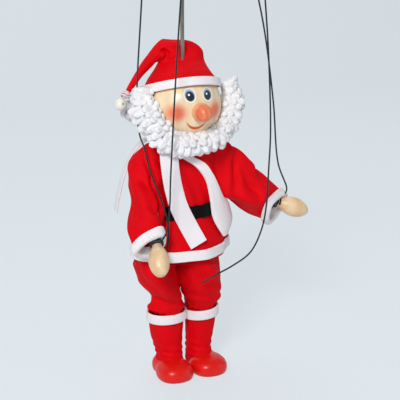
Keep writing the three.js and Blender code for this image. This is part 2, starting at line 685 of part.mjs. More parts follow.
// Arms, sleeves, cuffs and hands
for (const side of ["left", "right"]) {
  const shoulder = shoulders[side];
  const way = armWays[side];
  const wrist = wrists[side];
  const handWay = handWays[side];
  const crossHole = acrossShoulders(60, cordHole);
  const stickEnd = wrist.clone().addScaledVector(way, -4.2);
  const stickTop = shoulder.clone().addScaledVector(way, -2.4);
  const knotSpace = knotRadius + gap;
  let stick = solid(bar(stickTop, stickEnd, armRadius, 16)).subtract(crossHole);
  stick = stick.subtract(solid(ball(knotCentre(side), knotSpace, knotSpace, knotSpace, 10, 6)));
  const linkLength = 7;
  const linkPath = [
    wrist.clone().addScaledVector(way, -4.2 - linkLength),
    wrist.clone().addScaledVector(way, -2.6),
    wrist,
    wrist.clone().addScaledVector(handWay, 1.6),
    wrist.clone().addScaledVector(handWay, linkLength),
  ];
  const linkCurve = new THREE.CatmullRomCurve3(linkPath, false, "centripetal");
  const linkSpace = solid(tube(linkCurve, cordRadius + gap, 6, 8));
  add(side + "_wrist_cord", tube(linkCurve, cordRadius, 6, 8), "thread");
  add(side + "_arm", largest(stick.subtract(linkSpace)), "beech");

  let sleeve = solid(wall(sleeveStack(side, 0, 1, 8, 0), sleeveStack(side, 0, 1, 8, -cloth)));
  sleeve = sleeve.subtract(coatSpace).subtract(beltSpace).subtract(hemSpace);
  sleeve = sleeve.subtract(stringSpace(side + "_hand_string")).subtract(stringSpace("right_knee_string"));
  add(side + "_sleeve", largest(sleeve), "redCloth");

  const cuffFrom = 0.87;
  const cuffTo = 1.01;
  const cuffGap = gap + 0.15; // the sleeve's facets stand a little proud between its rings
  const cuffStack = (offset) => sleeveStack(side, cuffFrom, cuffTo, 3, cuffGap + offset);
  let cuff = solid(wall(cuffStack(felt), cuffStack(0)));
  cuff = cuff.subtract(coatSpace).subtract(hemSpace).subtract(beltSpace);
  cuff = cuff.subtract(stringSpace(side + "_hand_string")).subtract(stringSpace("right_knee_string"));
  add(side + "_cuff", largest(cuff), "whiteFelt");

  const half = handWidth / 2;
  const neck = neckLength;
  const hand = turned(
    [
      [0, -2.6], [neckRadius, -2.6], [neckRadius, neck - 1.2], [neckRadius + 0.7, neck],
      [half * 0.78, neck + handLength * 0.14], [half * 0.96, neck + handLength * 0.3],
      [half, neck + handLength * 0.46], [half * 0.93, neck + handLength * 0.63],
      [half * 0.74, neck + handLength * 0.8], [half * 0.42, neck + handLength * 0.93],
      [0, neck + handLength],
    ],
    wrist,
    handWay,
    16,
  );
  add(side + "_hand", solid(hand).subtract(linkSpace), "maple");
  add(side + "_wrist_tie", winding(ties[side], handWay, tieRadius, 2, 2 * threadRadius), "thread");
}
function knotCentre(side) {
  return at((side === "left" ? 1 : -1) * (cordHalf + 1.2), shoulderBack, shoulderHeight);
}

// Felt band round the hem
add("coat_hem_band", hemTrim, "whiteFelt");

// Scarf: one felt strip, down the chest, round the neck and out over the right shoulder behind
function strip(stations, thickness) {
  const curve = new THREE.CatmullRomCurve3(stations.map((s) => s.at));
  const count = 3 * (stations.length - 1);
  const rings = [];
  for (let i = 0; i <= count; i++) {
    const share = i / count;
    const place = share * (stations.length - 1);
    const k = Math.min(Math.floor(place), stations.length - 2);
    const across = stations[k].across.clone().lerp(stations[k + 1].across, place - k).normalize();
    const half = lerp(stations[k].width, stations[k + 1].width, place - k) / 2;
    const t = curve.getTangent(share);
    const out = t.clone().cross(across).normalize();
    const side = out.clone().cross(t).normalize();
    const centre = curve.getPoint(share);
    const corner = (a, b) =>
      centre.clone().addScaledVector(side, a * half).addScaledVector(out, (b * thickness) / 2);
    rings.push([corner(-1, -1), corner(0, -1), corner(1, -1), corner(1, 1), corner(0, 1), corner(-1, 1)]);
  }
  const made = solid(loft(rings));
  return made.volume() < 0 ? solid(flipped(loft(rings))) : made;
}
function flipped(geometry) {
  const index = Array.from(geometry.index.array);
  for (let i = 0; i < index.length; i += 3) [index[i + 1], index[i + 2]] = [index[i + 2], index[i + 1]];
  geometry.setIndex(index);
  return geometry;
}
const front = (z) => -coatAt(z)[1];
const scarfWidth = 8.6;
const scarfLift = gap + felt + gap + felt / 2; // over the belt
// A place on a strip in front of the coat: the coat is measured a little lower or higher, then the
// strip is pulled in by some more
const onFront = (x, z, lower, pull, across, width) => ({
  at: at(x, front(z + lower) - scarfLift + pull, z),
  across,
  width,
});
const scarfStations = [
  onFront(0.4, waistHeight - 16.5, -0.5, 0, at(1, -0.1, 0.45), scarfWidth),
  onFront(-4.6, waistHeight - 6, -1, 0, at(1, 0, 0.42), scarfWidth),
  onFront(-9.6, waistHeight + 5, -1, 0, at(1, 0.05, 0.3), scarfWidth),
  onFront(-12.6, waistHeight + 16, -1, 1, at(1, 0.1, 0.14), scarfWidth + 1),
  onFront(-13.8, shoulderHeight - 4, -1, 0, at(1, 0.1, 0.08), scarfWidth + 1.4),
  { at: at(-13.4, -12.6, shoulderHeight + 4), across: at(1, 0.1, 0.04), width: scarfWidth + 1.4 },
];
let scarf = strip(scarfStations, felt).subtract(coatSpace).subtract(beltSpace).subtract(beardSpace);
add("scarf_front", largest(scarf), "whiteFelt");
const backStations = [
  { at: at(-5, 8.6, shoulderHeight + 7), across: at(0.2, 0.5, 0.1), width: scarfWidth - 2 },
  { at: at(-14, 16.4, shoulderHeight + 6), across: at(0.3, 0.8, 0), width: scarfWidth },
  { at: at(-21, 18.6, shoulderHeight), across: at(0.36, 0.93, 0), width: scarfWidth },
  { at: at(-26.4, 20.4, shoulderHeight - 12), across: at(0.42, 0.906, 0), width: scarfWidth },
  { at: at(-29.6, 21.6, shoulderHeight - 24), across: at(0.42, 0.906, 0), width: scarfWidth },
  { at: at(-31.6, 22.4, shoulderHeight - 35), across: at(0.42, 0.906, 0), width: scarfWidth },
];
const hairSpace = yarnRoll(hairStations, gap, 8);
let scarfBack = strip(backStations, felt).subtract(coatSpace).subtract(hairSpace);
scarfBack = scarfBack.subtract(stringSpace("right_knee_string"));
add("scarf_back", largest(scarfBack), "whiteFelt");

// Sack: a soft white bag on the back of the left hip, on a strap from the neck across the chest
const sackHeight = 47;
const sackWidth = 27.6;
const sackHip = at(28.5, 20.5, 0); // its foot beside the hip, then its neck behind the arm
const sackNeck = at(20, 16.5, 0);
const sackRings = [
  [0, 0.29, 0.14], [2, 0.69, 0.36], [8, 0.94, 0.49], [16, 1, 0.52],
  [25, 0.87, 0.48], [34, 0.65, 0.36], [42, 0.43, 0.26], [sackHeight, 0.33, 0.19],
].map(([rise, wide, deep]) => {
  const share = rise / sackHeight;
  const halfWidth = (sackWidth / 2) * wide;
  const halfDepth = (sackWidth / 2) * deep;
  const gathers = (angle) => 0.3 * Math.sin(4 * angle);
  const x = lerp(sackHip.x, sackNeck.x, share);
  const y = lerp(sackHip.y, sackNeck.y, share);
  return level(x, y, hemHeight + rise, halfWidth, halfDepth, 24, gathers);
});
const sack = solid(loft(sackRings)).subtract(coatSpace).subtract(hemSpace).subtract(beltSpace);
add("sack", largest(sack), "whiteFelt");
const strapWidth = 5.6;
const strapStations = [
  onFront(-6, shoulderHeight + 1.4, -1.4, 0.05, at(0.5, 0, 0.86), strapWidth),
  onFront(1, shoulderHeight - 2, -1, 0.65, at(0.5, 0, 0.86), strapWidth),
  onFront(7.4, shoulderHeight - 7, -1, 1.85, at(0.62, 0.05, 0.76), strapWidth),
  onFront(12.6, waistHeight + 16.6, -0.6, 3.85, at(0.8, 0.3, 0.5), strapWidth),
  onFront(17.4, waistHeight + 10, 0, 7.45, at(0.7, 0.5, 0.5), strapWidth),
  { at: at(22, -4.2, waistHeight + 4.4), across: at(0.3, 0.5, 0.8), width: strapWidth },
  { at: at(23.6, 4, waistHeight + 1.6), across: at(0, 0.2, 1), width: strapWidth + 1 },
  { at: at(22.6, 12.6, waistHeight + 0.6), across: at(0, 0, 1), width: strapWidth + 2 },
];
let strap = strip(strapStations, felt).subtract(coatSpace).subtract(beltSpace).subtract(beardSpace);
strap = strap.subtract(solid(loft(sackRings.map((ring) => grown(ring, 0.4)))));
strap = strap.subtract(solid(loft(sleeveStack("left", 0, 1, 8, gap))));
add("sack_strap", largest(strap), "whiteFelt");
function grown(ring, by) {
  const centre = ring.reduce((sum, p) => sum.add(p), at(0, 0, 0)).divideScalar(ring.length);
  return ring.map((p) => p.clone().addScaledVector(p.clone().sub(centre).normalize(), by));
}

// Legs: tongue and fork joints on steel pins, cloth trousers, boots with felt cuffs
const seatTop = hipHeight + 8;
const legTop = hipHeight - 6.5;
const seatStack = (offset) => [
  level(0, -0.5, legTop + gap, 24.4 + offset, 15 + offset, 24),
  level(0, 0, hipHeight + 2, 20.4 + offset, 12 + offset, 24),
  level(0, 0, seatTop, 16.4 + offset, 8 + offset, 24),
];
add("trousers_seat", wall(seatStack(0), seatStack(-cloth)), "redCloth");
for (const side of ["left", "right"]) {
  const sign = side === "left" ? 1 : -1;
  const x = (sign * legSpread) / 2;
  const ear = limbRadius + 0.2;
  let thigh = solid(bar(at(x, 0, kneeHeight + 4.4), at(x, 0, hipHeight - 9), limbRadius, 12));
  const thighMiddle = (kneeHeight + hipHeight) / 2;
  thigh = thigh.add(solid(block(x, 0, thighMiddle, tongue, 5.4, hipHeight - kneeHeight - 2)));
  for (const z of [hipHeight, kneeHeight])
    thigh = thigh.add(solid(bar(at(x - tongue / 2, 0, z), at(x + tongue / 2, 0, z), 2.7, 14)));
  for (const z of [hipHeight, kneeHeight])
    thigh = thigh.subtract(solid(bar(at(x - 8, 0, z), at(x + 8, 0, z), pinHole, 12)));
  add(side + "_thigh", thigh, "beech");

  let shin = solid(bar(at(x, 0, footHeight * 0.35), at(x, 0, kneeHeight - 1), ear, 12));
  const earHalf = ear * 0.94;
  const fork = bar(at(x - earHalf, 0, kneeHeight), at(x + earHalf, 0, kneeHeight), ear * 0.82, 14);
  shin = shin.add(solid(fork));
  shin = shin.subtract(solid(block(x, 0, kneeHeight + 1, slotWidth, 12, 9)));
  shin = shin.subtract(solid(bar(at(x - 8, 0, kneeHeight), at(x + 8, 0, kneeHeight), pinHole, 12)));
  add(side + "_shin", shin, "beech");
  const kneePin = bar(at(x - ear * 0.9, 0, kneeHeight), at(x + ear * 0.9, 0, kneeHeight), pinRadius, 12);
  add(side + "_knee_pin", kneePin, "steel");

  // Height, how far outside the leg's own axis, place forward, half width and half depth
  const legLevels = [
    [bootTop + 0.6, 0.1, -0.2, bootRadius + 0.2, bootRadius + 0.6],
    [bootTop + 5, 0.4, -1, bootRadius + 0.5, bootRadius + 1.6],
    [kneeHeight + 1, 0.6, -2, bootRadius + 1.4, bootRadius + 2.8],
    [lerp(kneeHeight, hipHeight, 0.3), 1.7, -2.6, bootRadius + 2.6, bootRadius + 4.2],
    [lerp(kneeHeight, hipHeight, 0.6), 2.7, -2, bootRadius + 3.5, bootRadius + 5.2],
    [legTop, 2.8, -1, bootRadius + 3.6, bootRadius + 4.8],
  ];
  const crease = (angle) => 0.4 * Math.sin(3 * angle + sign);
  const legStack = (offset) =>
    legLevels.map(([z, out, y, halfWidth, halfDepth]) =>
      level(x + sign * out, y, z, halfWidth + offset, halfDepth + offset, 20, crease),
    );
  add(side + "_trouser_leg", wall(legStack(0), legStack(-cloth)), "redCloth");

  const toeAt = at(x, -footLength * 0.4, footHeight * 0.42);
  const heelAt = at(x, footLength * 0.02, footHeight * 0.36);
  const toe = (grow) =>
    solid(ball(toeAt, footWidth / 2 + grow, footLength * 0.4 + grow, footHeight * 0.56 + grow, 16, 10));
  const heel = (grow) =>
    solid(ball(heelAt, footWidth * 0.42 + grow, footLength * 0.25 + grow, footHeight * 0.5 + grow, 16, 10));
  const ground = solid(block(x, 0, -20, 80, 120, 40));
  const legHole = solid(bar(at(x, 0, footHeight * 0.35 - gap), at(x, 0, bootTop), ear + gap, 14));
  add(side + "_foot", toe(0).add(heel(0)).subtract(ground).subtract(legHole), "redPaint");

  const shaftLevels = [
    [footHeight * 0.24, ankleRadius + 1.2, ankleRadius + 3.4, -1],
    [footHeight * 0.46, ankleRadius + 0.8, ankleRadius + 3, -1.4],
    [bootTop * 0.3, ankleRadius, ankleRadius + 1.2, -0.5],
    [bootTop * 0.4, ankleRadius + 0.6, ankleRadius + 1, 0],
    [bootTop - 9, bootRadius * 0.95, bootRadius * 0.95, 0],
    [bootTop, bootRadius, bootRadius, 0],
  ];
  let shaft = solid(
    loft(shaftLevels.map(([z, halfWidth, halfDepth, y]) => level(x, y, z, halfWidth, halfDepth, 16))),
  );
  shaft = shaft.subtract(solid(bar(at(x, 0, -1), at(x, 0, bootTop + 1), ear + gap, 14)));
  shaft = shaft.subtract(toe(gap)).subtract(heel(gap));
  add(side + "_boot_shaft", largest(shaft), "redCloth");
  const cuffRing = (z, offset) => level(x, 0, z, bootRadius + offset, bootRadius + offset, 28);
  add(
    side + "_boot_cuff",
    wall(
      [cuffRing(bootTop - trimWidth, gap + felt), cuffRing(bootTop + 0.2, gap + felt)],
      [cuffRing(bootTop - trimWidth, gap), cuffRing(bootTop + 0.2, gap)],
    ),
    "whiteFelt",
  );
}

// Strings
for (const name of Object.keys(routes))
  add(name, tube(stringCurves[name], threadRadius, 6, stringSteps[name]), "thread");

puppet.position.z = -hookSeat;
export default puppet;
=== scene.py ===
import random
from math import asin, copysign, cos, exp, pi, radians, sin

import bmesh
import bpy
from mathutils import Matrix, Vector, noise


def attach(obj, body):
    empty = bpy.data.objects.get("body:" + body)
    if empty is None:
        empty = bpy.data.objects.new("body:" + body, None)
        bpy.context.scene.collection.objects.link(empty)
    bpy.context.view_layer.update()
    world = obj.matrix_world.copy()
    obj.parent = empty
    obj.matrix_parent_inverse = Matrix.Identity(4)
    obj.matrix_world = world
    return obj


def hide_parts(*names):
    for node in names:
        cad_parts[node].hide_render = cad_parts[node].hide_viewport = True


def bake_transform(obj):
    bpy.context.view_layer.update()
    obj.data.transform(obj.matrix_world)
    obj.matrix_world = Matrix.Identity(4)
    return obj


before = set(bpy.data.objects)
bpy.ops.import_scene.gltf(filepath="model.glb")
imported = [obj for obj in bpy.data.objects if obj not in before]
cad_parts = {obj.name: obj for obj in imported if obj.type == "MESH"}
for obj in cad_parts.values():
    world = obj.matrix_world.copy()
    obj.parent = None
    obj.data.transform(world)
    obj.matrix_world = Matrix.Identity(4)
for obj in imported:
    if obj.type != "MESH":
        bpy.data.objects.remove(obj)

scene = bpy.context.scene
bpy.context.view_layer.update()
random.seed(7)

# Camera: at the photograph's viewing angle, a little above the puppet and to its right side.
# Places are written in millimetres, counted up from the soles of the boots; the frame hangs from
# its hook, HOOK above the soles.
HOOK = 259.0
UP = Vector((0, 0, 1))
AZIMUTH, ELEVATION, DISTANCE, PIXEL = radians(-25), radians(16), 620.0, 0.556
AIM = Vector((8.6, -4.0, 100.0))


def place(point):
    return Vector((point[0], point[1], point[2] - HOOK)) * 0.001


flat = cos(ELEVATION)
toward = Vector((sin(AZIMUTH) * flat, -cos(AZIMUTH) * flat, sin(ELEVATION)))
sideways = Vector((cos(AZIMUTH), sin(AZIMUTH), 0))
lens = bpy.data.cameras.new("camera")
lens.sensor_width = 36
lens.lens = 36 * DISTANCE / PIXEL / 400
lens.clip_start = 0.01
camera = bpy.data.objects.new("camera", lens)
scene.collection.objects.link(camera)
turned_view = Matrix((sideways, toward.cross(sideways), toward)).transposed().to_4x4()
camera.matrix_world = Matrix.Translation(place(AIM + toward * DISTANCE)) @ turned_view
scene.camera = camera
scene.view_settings.view_transform = "Standard"

# Strings: four limp black cords of twisted polyester, 0.9 mm thick, fixed under the control's
# crossbar and tied to the wrists and knees. The strings to the knees pass outside the coat.
SHOULDER = {"left": Vector((18, 3, 127)), "right": Vector((-18, 3, 127))}
ARM = {
    "left": Vector((0.74, -0.17, -0.65)).normalized(),
    "right": Vector((-0.17, -0.55, -0.8)).normalized(),
}
HAND = {
    "left": Vector((0.89, -0.2, -0.36)).normalized(),
    "right": Vector((-0.2, -0.75, -0.63)).normalized(),
}
ARM_LENGTH = 50
WRIST = {side: SHOULDER[side] + ARM[side] * ARM_LENGTH for side in ("left", "right")}
TIE = {side: WRIST[side] + HAND[side] for side in ("left", "right")}
GAP = 0.3
CORD = 0.45
NECK_OF_HAND = 2.6
CONTROL = 228.0 - GAP
KNOT_OUT = NECK_OF_HAND + GAP + CORD * 3 + GAP
ROUTES = {
    "right_hand_string": (
        [TIE["right"] + Vector((0.45, -0.64, 0.62)) * KNOT_OUT, (-23.2, -29, 90.8),
         (-21.4, -28.2, 95), (-19.4, -26.4, 106), (-18.4, -25.4, 120), (-15.7, -27.8, 180),
         (-13, -30, CONTROL)],
        "right_arm",
    ),
    "left_hand_string": (
        [TIE["left"] + Vector((1.2, 0, KNOT_OUT)), (61, -7, 98.4), (61.8, -7.4, 101),
         (53.8, -11, 118), (46.4, -17.5, 155), (36, -25, 196), (25.7, -30, CONTROL)],
        "left_arm",
    ),
    "right_knee_string": (
        [(-20, -13.9, 66.2), (-20.4, -17.6, 67.6), (-20.2, -20.4, 71), (-19.4, -20.6, 76),
         (-17, -18.4, 84), (-16.4, -17.2, 92), (-20, -20, 103), (-22.6, -18.6, 112),
         (-25.4, -13.4, 124), (-25.6, -7.5, 133.4), (-24.4, 2, 138.6), (-23.8, 7, 147),
         (-24.6, 5.6, 158), (-26.2, 0.2, 167), (-27.4, -4, 176), (-30.6, -17, 204),
         (-34.2, -30, CONTROL)],
        "right_thigh",
    ),
    "left_knee_string": (
        [(3.4, -18.6, 56.5), (5, -20.2, 58.4), (9, -25, 63), (17, -27.5, 67.4), (28, -28, 74),
         (35, -27.5, 86), (38.4, -26.6, 100), (39.6, -26, 118), (40.4, -26, 140), (37.2, -28, 184),
         (32.1, -30, CONTROL)],
        "left_thigh",
    ),
}


def lerp(a, b, t):
    return a + (b - a) * t


def shares(count):
    return [i / count for i in range(count + 1)]


def smooth_line(points, steps):
    """Evenly spaced points on a centripetal curve through the given ones."""
    line = [Vector(p) for p in points]
    ends = [line[0] * 2 - line[1]] + line + [line[-1] * 2 - line[-2]]
    fine = []
    for i in range(1, len(ends) - 2):
        p0, p1, p2, p3 = ends[i - 1 : i + 3]
        d0 = max((p1 - p0).length ** 0.5, 1e-4)
        d1 = max((p2 - p1).length ** 0.5, 1e-4)
        d2 = max((p3 - p2).length ** 0.5, 1e-4)
        m1 = ((p1 - p0) / d0 - (p2 - p0) / (d0 + d1) + (p2 - p1) / d1) * d1
        m2 = ((p2 - p1) / d1 - (p3 - p1) / (d1 + d2) + (p3 - p2) / d2) * d1
        for k in range(24):
            t = k / 24
            a, b = 2 * t**3 - 3 * t**2 + 1, t**3 - 2 * t**2 + t
            c, d = -2 * t**3 + 3 * t**2, t**3 - t**2
            fine.append(p1 * a + m1 * b + p2 * c + m2 * d)
    fine.append(line[-1])
    lengths = [0.0]
    for a, b in zip(fine, fine[1:]):
        lengths.append(lengths[-1] + (b - a).length)
    out, at = [], 0
    for k in range(steps + 1):
        want = lengths[-1] * k / steps
        while at < len(fine) - 2 and lengths[at + 1] < want:
            at += 1
        span = max(lengths[at + 1] - lengths[at], 1e-9)
        out.append(fine[at].lerp(fine[at + 1], min(max((want - lengths[at]) / span, 0), 1)))
    return out


def steady_axes(line):
    """Tangent and two sides along a line, which don't twist."""
    last = len(line) - 1
    tangents = [(line[min(i + 1, last)] - line[max(i - 1, 0)]).normalized() for i in range(len(line))]
    side = tangents[0].cross(UP if abs(tangents[0].z) < 0.9 else Vector((0, 1, 0))).normalized()
    found = []
    for t in tangents:
        side = (side - t * side.dot(t)).normalized()
        found.append((t, side, t.cross(side)))
    return found


def tube_rings(line, radius, sides):
    """Round sections along a line; radius is a number or a function of the share of the length."""
    out = []
    for i, (point, (_, u, v)) in enumerate(zip(line, steady_axes(line))):
        r = radius(i / (len(line) - 1)) if callable(radius) else radius
        angles = [2 * pi * j / sides for j in range(sides)]
        out.append([point + (u * cos(a) + v * sin(a)) * r for a in angles])
    return out


def add_loft(bm, rings, kind, cloth=False):
    """A grid rolled up through the rings and welded at its seam, looped or capped at its ends.

    The UV runs along the piece in centimetres, and round it in turns, or in centimetres on cloth."""
    rows = rings + rings[:1] if kind == "looped" else rings
    count, high = len(rows[0]), len(rows)
    uv = bm.loops.layers.uv.verify()
    made = bmesh.ops.create_grid(bm, x_segments=count, y_segments=high - 1, size=1)["verts"]
    run = [0.0]
    for a, b in zip(rows, rows[1:]):
        run.append(run[-1] + (b[0] - a[0]).length / 10)
    waist = rows[high // 2]
    around = sum((a - b).length for a, b in zip(waist, waist[1:])) / 10 if cloth else 1.0
    for i, vert in enumerate(made):
        level, turn = divmod(i, count + 1)
        vert.co = place(rows[level][turn % count])
        for loop in vert.link_loops:
            loop[uv].uv = (turn / count * around, run[level])
    bmesh.ops.remove_doubles(bm, verts=made, dist=1e-8)
    if kind == "capped":
        rim = {e for vert in made if vert.is_valid for e in vert.link_edges if e.is_boundary}
        bmesh.ops.holes_fill(bm, edges=list(rim), sides=0)


def shade_round(mesh, sharp):
    mesh.polygons.foreach_set("use_smooth", [True] * len(mesh.polygons))
    mesh.set_sharp_from_angle(angle=radians(sharp))


def finish_piece(name, bm, material, body, sharp=50):
    bmesh.ops.recalc_face_normals(bm, faces=bm.faces)
    mesh = bpy.data.meshes.new(name)
    bm.to_mesh(mesh)
    bm.free()
    shade_round(mesh, sharp)
    mesh.materials.append(material)
    obj = bpy.data.objects.new(name, mesh)
    scene.collection.objects.link(obj)
    if body:
        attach(obj, body)
    return obj


def lofted(name, rings, kind, material, body, sharp=50, cloth=False):
    bm = bmesh.new()
    add_loft(bm, rings, kind, cloth)
    return finish_piece(name, bm, material, body, sharp)


def linear(code):
    """An sRGB hex colour as the linear values that the nodes take."""
    parts = [int(code[i : i + 2], 16) / 255 for i in (0, 2, 4)]
    return [c / 12.92 if c <= 0.04045 else ((c + 0.055) / 1.055) ** 2.4 for c in parts] + [1.0]


def give(tree, socket, value):
    """A value, a hex colour, or a link from a socket or from a node's first live output."""
    if isinstance(value, bpy.types.Node):
        value = next(output for output in value.outputs if output.enabled)
    if isinstance(value, bpy.types.NodeSocket):
        tree.links.new(value, socket)
    else:
        socket.default_value = linear(value) if isinstance(value, str) else value


def add(tree, kind, inputs=(), **settings):
    """One shader node with its settings, and what its sockets take, by name or in their order."""
    node = tree.nodes.new("ShaderNode" + kind)
    for key, value in settings.items():
        setattr(node, key, value)
    for key, value in inputs.items() if isinstance(inputs, dict) else enumerate(inputs):
        give(tree, node.inputs[key], value)
    return node


def start_material(name, values):
    material = bpy.data.materials.new(name)
    material.use_nodes = True
    tree = material.node_tree
    tree.nodes.clear()
    surface = add(tree, "BsdfPrincipled", values)
    add(tree, "OutputMaterial", {"Surface": surface})
    return material, tree, surface, add(tree, "TexCoord").outputs


def end_material(tree, surface, colour, height, strength, distance):
    """Colour and bump, the last two links of every material with a pattern."""
    give(tree, surface.inputs["Base Color"], colour)
    relief = add(tree, "Bump", {"Height": height, "Strength": strength, "Distance": distance})
    give(tree, surface.inputs["Normal"], relief)


# Twisted polyester cord and cotton thread: two plies that wind round each other, read from the
# piece's own UV, with loose fibres between them. The grooves between the plies are painted in the
# dark colour as shade. They give a soft, faintly ribbed dark or pale line.
def twisted(name, colour, dark, turns, rough, fuzz_size, depth):
    material, tree, surface, where = start_material(
        name, {"Roughness": rough, "Sheen Weight": 0.2, "Specular IOR Level": 0.2}
    )
    split = add(tree, "SeparateXYZ", [where["UV"]])
    around = add(tree, "Math", [split.outputs[0], 2.0], operation="MULTIPLY")
    wound = add(tree, "Math", [split.outputs[1], turns, around], operation="MULTIPLY_ADD")
    ply = add(tree, "Math", [wound, 0.5], operation="PINGPONG")
    fuzz = add(tree, "TexNoise", {"Vector": where["Object"], "Scale": 1000 / fuzz_size, "Detail": 5})
    raised = add(tree, "Math", [ply, 1.6], operation="MULTIPLY")
    height = add(tree, "Math", [fuzz, 0.6, raised], operation="MULTIPLY_ADD")
    # Painted shade: the colour falls towards the dark colour in the grooves between the plies.
    painted_ply_shade = add(tree, "Math", [ply, 1.6, 0.25], operation="MULTIPLY_ADD")
    tone = add(tree, "Math", [painted_ply_shade, 1.0], operation="MINIMUM")
    shade = add(tree, "Mix", {0: tone, 6: dark, 7: colour}, data_type="RGBA")
    end_material(tree, surface, shade, height, 0.6, depth)
    return material


# The cord's second colour is the painted shade in the grooves between its plies.
black_cord = twisted("black_polyester_cord", "1b2b33", "060c10", 60.0, 0.6, 0.6, 0.0001)
for name, (points, limb) in ROUTES.items():
    line = smooth_line(points, 120)
    rings = tube_rings(line, CORD, 8)
    string = lofted(name + "_cord", rings, "capped", black_cord, None)
    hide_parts(name)
    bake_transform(string)

# Studio: pale paper under the soles, rolled up into a pale wall, and three wide soft lamps. The
# camera and the metal see the paper at its own colour; the floor keeps the puppet's shadow.
paper, tree, surface, where = start_material("studio_paper", {"Roughness": 0.9})
mottle = add(tree, "TexNoise", {"Vector": where["Object"], "Scale": 3, "Detail": 2})
shade = add(tree, "Mix", {0: mottle, 6: "dfe8ee", 7: "e6edf1"}, data_type="RGBA")
give(tree, surface.inputs["Base Color"], shade)
glow = add(tree, "Emission", {"Color": "e4ecf1", "Strength": 1.0})
rays = add(tree, "LightPath").outputs
direct = add(tree, "Math", [rays["Is Camera Ray"], rays["Is Glossy Ray"]], operation="MAXIMUM")
share = add(tree, "Math", [direct, 0.7], operation="MULTIPLY")
sheet_end = next(node for node in tree.nodes if node.type == "OUTPUT_MATERIAL")
give(tree, sheet_end.inputs["Surface"], add(tree, "MixShader", [share, surface, glow]))

# In metres: the floor just under the soles, the roll at its back, and the paper's width and height
FLOOR, BACK, ROLL, WIDE, HIGH = -0.2592, 0.75, 0.35, 12, 2.1
bm = bmesh.new()
start = bm.verts.new((-WIDE / 2, -1.2, FLOOR))
corner = bm.verts.new((-WIDE / 2, BACK, FLOOR))
bm.edges.new((start, corner))
swept = bmesh.ops.spin(
    bm, geom=[corner], cent=(-WIDE / 2, BACK, FLOOR + ROLL), axis=(1, 0, 0), angle=pi / 2, steps=16
)["geom_last"]
roll_end = [v for v in swept if isinstance(v, bmesh.types.BMVert)]
raised = bmesh.ops.extrude_vert_indiv(bm, verts=roll_end)["verts"]
bmesh.ops.translate(bm, verts=raised, vec=(0, 0, HIGH))
widened = bmesh.ops.extrude_edge_only(bm, edges=bm.edges[:])["geom"]
far_edge = [v for v in widened if isinstance(v, bmesh.types.BMVert)]
bmesh.ops.translate(bm, verts=far_edge, vec=(WIDE, 0, 0))
studio = finish_piece("studio", bm, paper, None)


def lamp(name, spot, aim, size, power):
    light = bpy.data.lights.new(name, "AREA")
    light.size = size
    light.energy = power
    obj = bpy.data.objects.new(name, light)
    obj.location = spot
    obj.rotation_euler = (Vector(aim) - Vector(spot)).to_track_quat("-Z", "Y").to_euler()
    scene.collection.objects.link(obj)


lamp("key_lamp", (-0.6, -0.75, 0.5), (0, 0, -0.12), 0.3, 8.9)
lamp("fill_lamp", (0.9, -0.6, 0.15), (0, 0, -0.15), 0.8, 1.3)
lamp("top_lamp", (0.1, 0.35, 0.75), (0, 0, -0.1), 0.6, 2.4)
world = bpy.data.worlds.new("studio_world")
world.use_nodes = True
scene.world = world
sky = next(n for n in world.node_tree.nodes if n.type == "BACKGROUND")
sky.inputs[0].default_value = linear("f2f4f7")
sky.inputs[1].default_value = 0.28

# Control, torso and limbs: sawn and sanded beech, waxed, with pale straight grain. The frame's own
# solids have the right shapes and stay; they only take their finish.
def grain_of(tree, where, stretch, ring_width):
    """Growth rings drawn out along the grain, with pores a ninth as wide; ring_width in millimetres."""
    scale = 314 / ring_width
    drawn_out = add(tree, "Mapping", {"Vector": where["Object"], "Scale": stretch})
    rings = {"Vector": drawn_out, "Scale": scale, "Distortion": 6, "Detail": 3, "Detail Scale": 1.6}
    bands = add(tree, "TexWave", rings).outputs[1]
    pores = add(tree, "TexNoise", {"Vector": drawn_out, "Scale": scale * 9, "Detail": 6})
    broad = add(tree, "Math", [bands, 0.65], operation="MULTIPLY")
    return add(tree, "Math", [pores, 0.35, broad], operation="MULTIPLY_ADD")


def wooden(name, colour, dark, stretch, ring_width, rough, coat):
    """Sanded wood: growth rings a few millimetres apart, which the eye reads as a faint warm figure."""
    material, tree, surface, where = start_material(
        name, {"Roughness": rough, "Coat Weight": coat, "Coat Roughness": 0.25}
    )
    grain = grain_of(tree, where, stretch, ring_width)
    shade = add(tree, "Mix", {0: grain, 6: dark, 7: colour}, data_type="RGBA")
    end_material(tree, surface, shade, grain, 0.15, 0.0002)
    return material


def keep(node, material):
    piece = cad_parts[node]
    piece.data.materials.clear()
    piece.data.materials.append(material)
    shade_round(piece.data, 35)


beech = wooden("waxed_beech", "dcb384", "bd8d5c", (1, 1, 0.15), 5.0, 0.4, 0.2)
for node in ("control_spine", "control_crossbar", "torso_block"):
    keep(node, beech)
for side in ("left", "right"):
    for part in ("arm", "thigh", "shin"):
        keep(side + "_" + part, beech)
    keep(side + "_wrist_cord", black_cord)
keep("shoulder_cord", black_cord)

# Head rod and pins: cold-drawn mild steel wire, a little tarnished. Fine streaks run along the wire
# and brownish patches dull its shine.
steel, tree, surface, where = start_material("drawn_steel_wire", {"Metallic": 1.0})
drawn = add(tree, "Mapping", {"Vector": where["Object"], "Scale": (1, 1, 0.04)})
streak = add(tree, "TexNoise", {"Vector": drawn, "Scale": 4000, "Detail": 3})
tarnish = add(tree, "TexNoise", {"Vector": where["Object"], "Scale": 120, "Detail": 4})
dull = add(tree, "Math", [streak, 0.25, 0.22], operation="MULTIPLY_ADD")
give(tree, surface.inputs["Roughness"], dull)
rusty = add(tree, "Mix", {0: tarnish, 6: "6e6259", 7: "b3aba0"}, data_type="RGBA")
end_material(tree, surface, rusty, streak, 0.1, 0.00002)
for node in ("head_rod", "control_rivet", "hip_pin", "left_knee_pin", "right_knee_pin"):
    keep(node, steel)


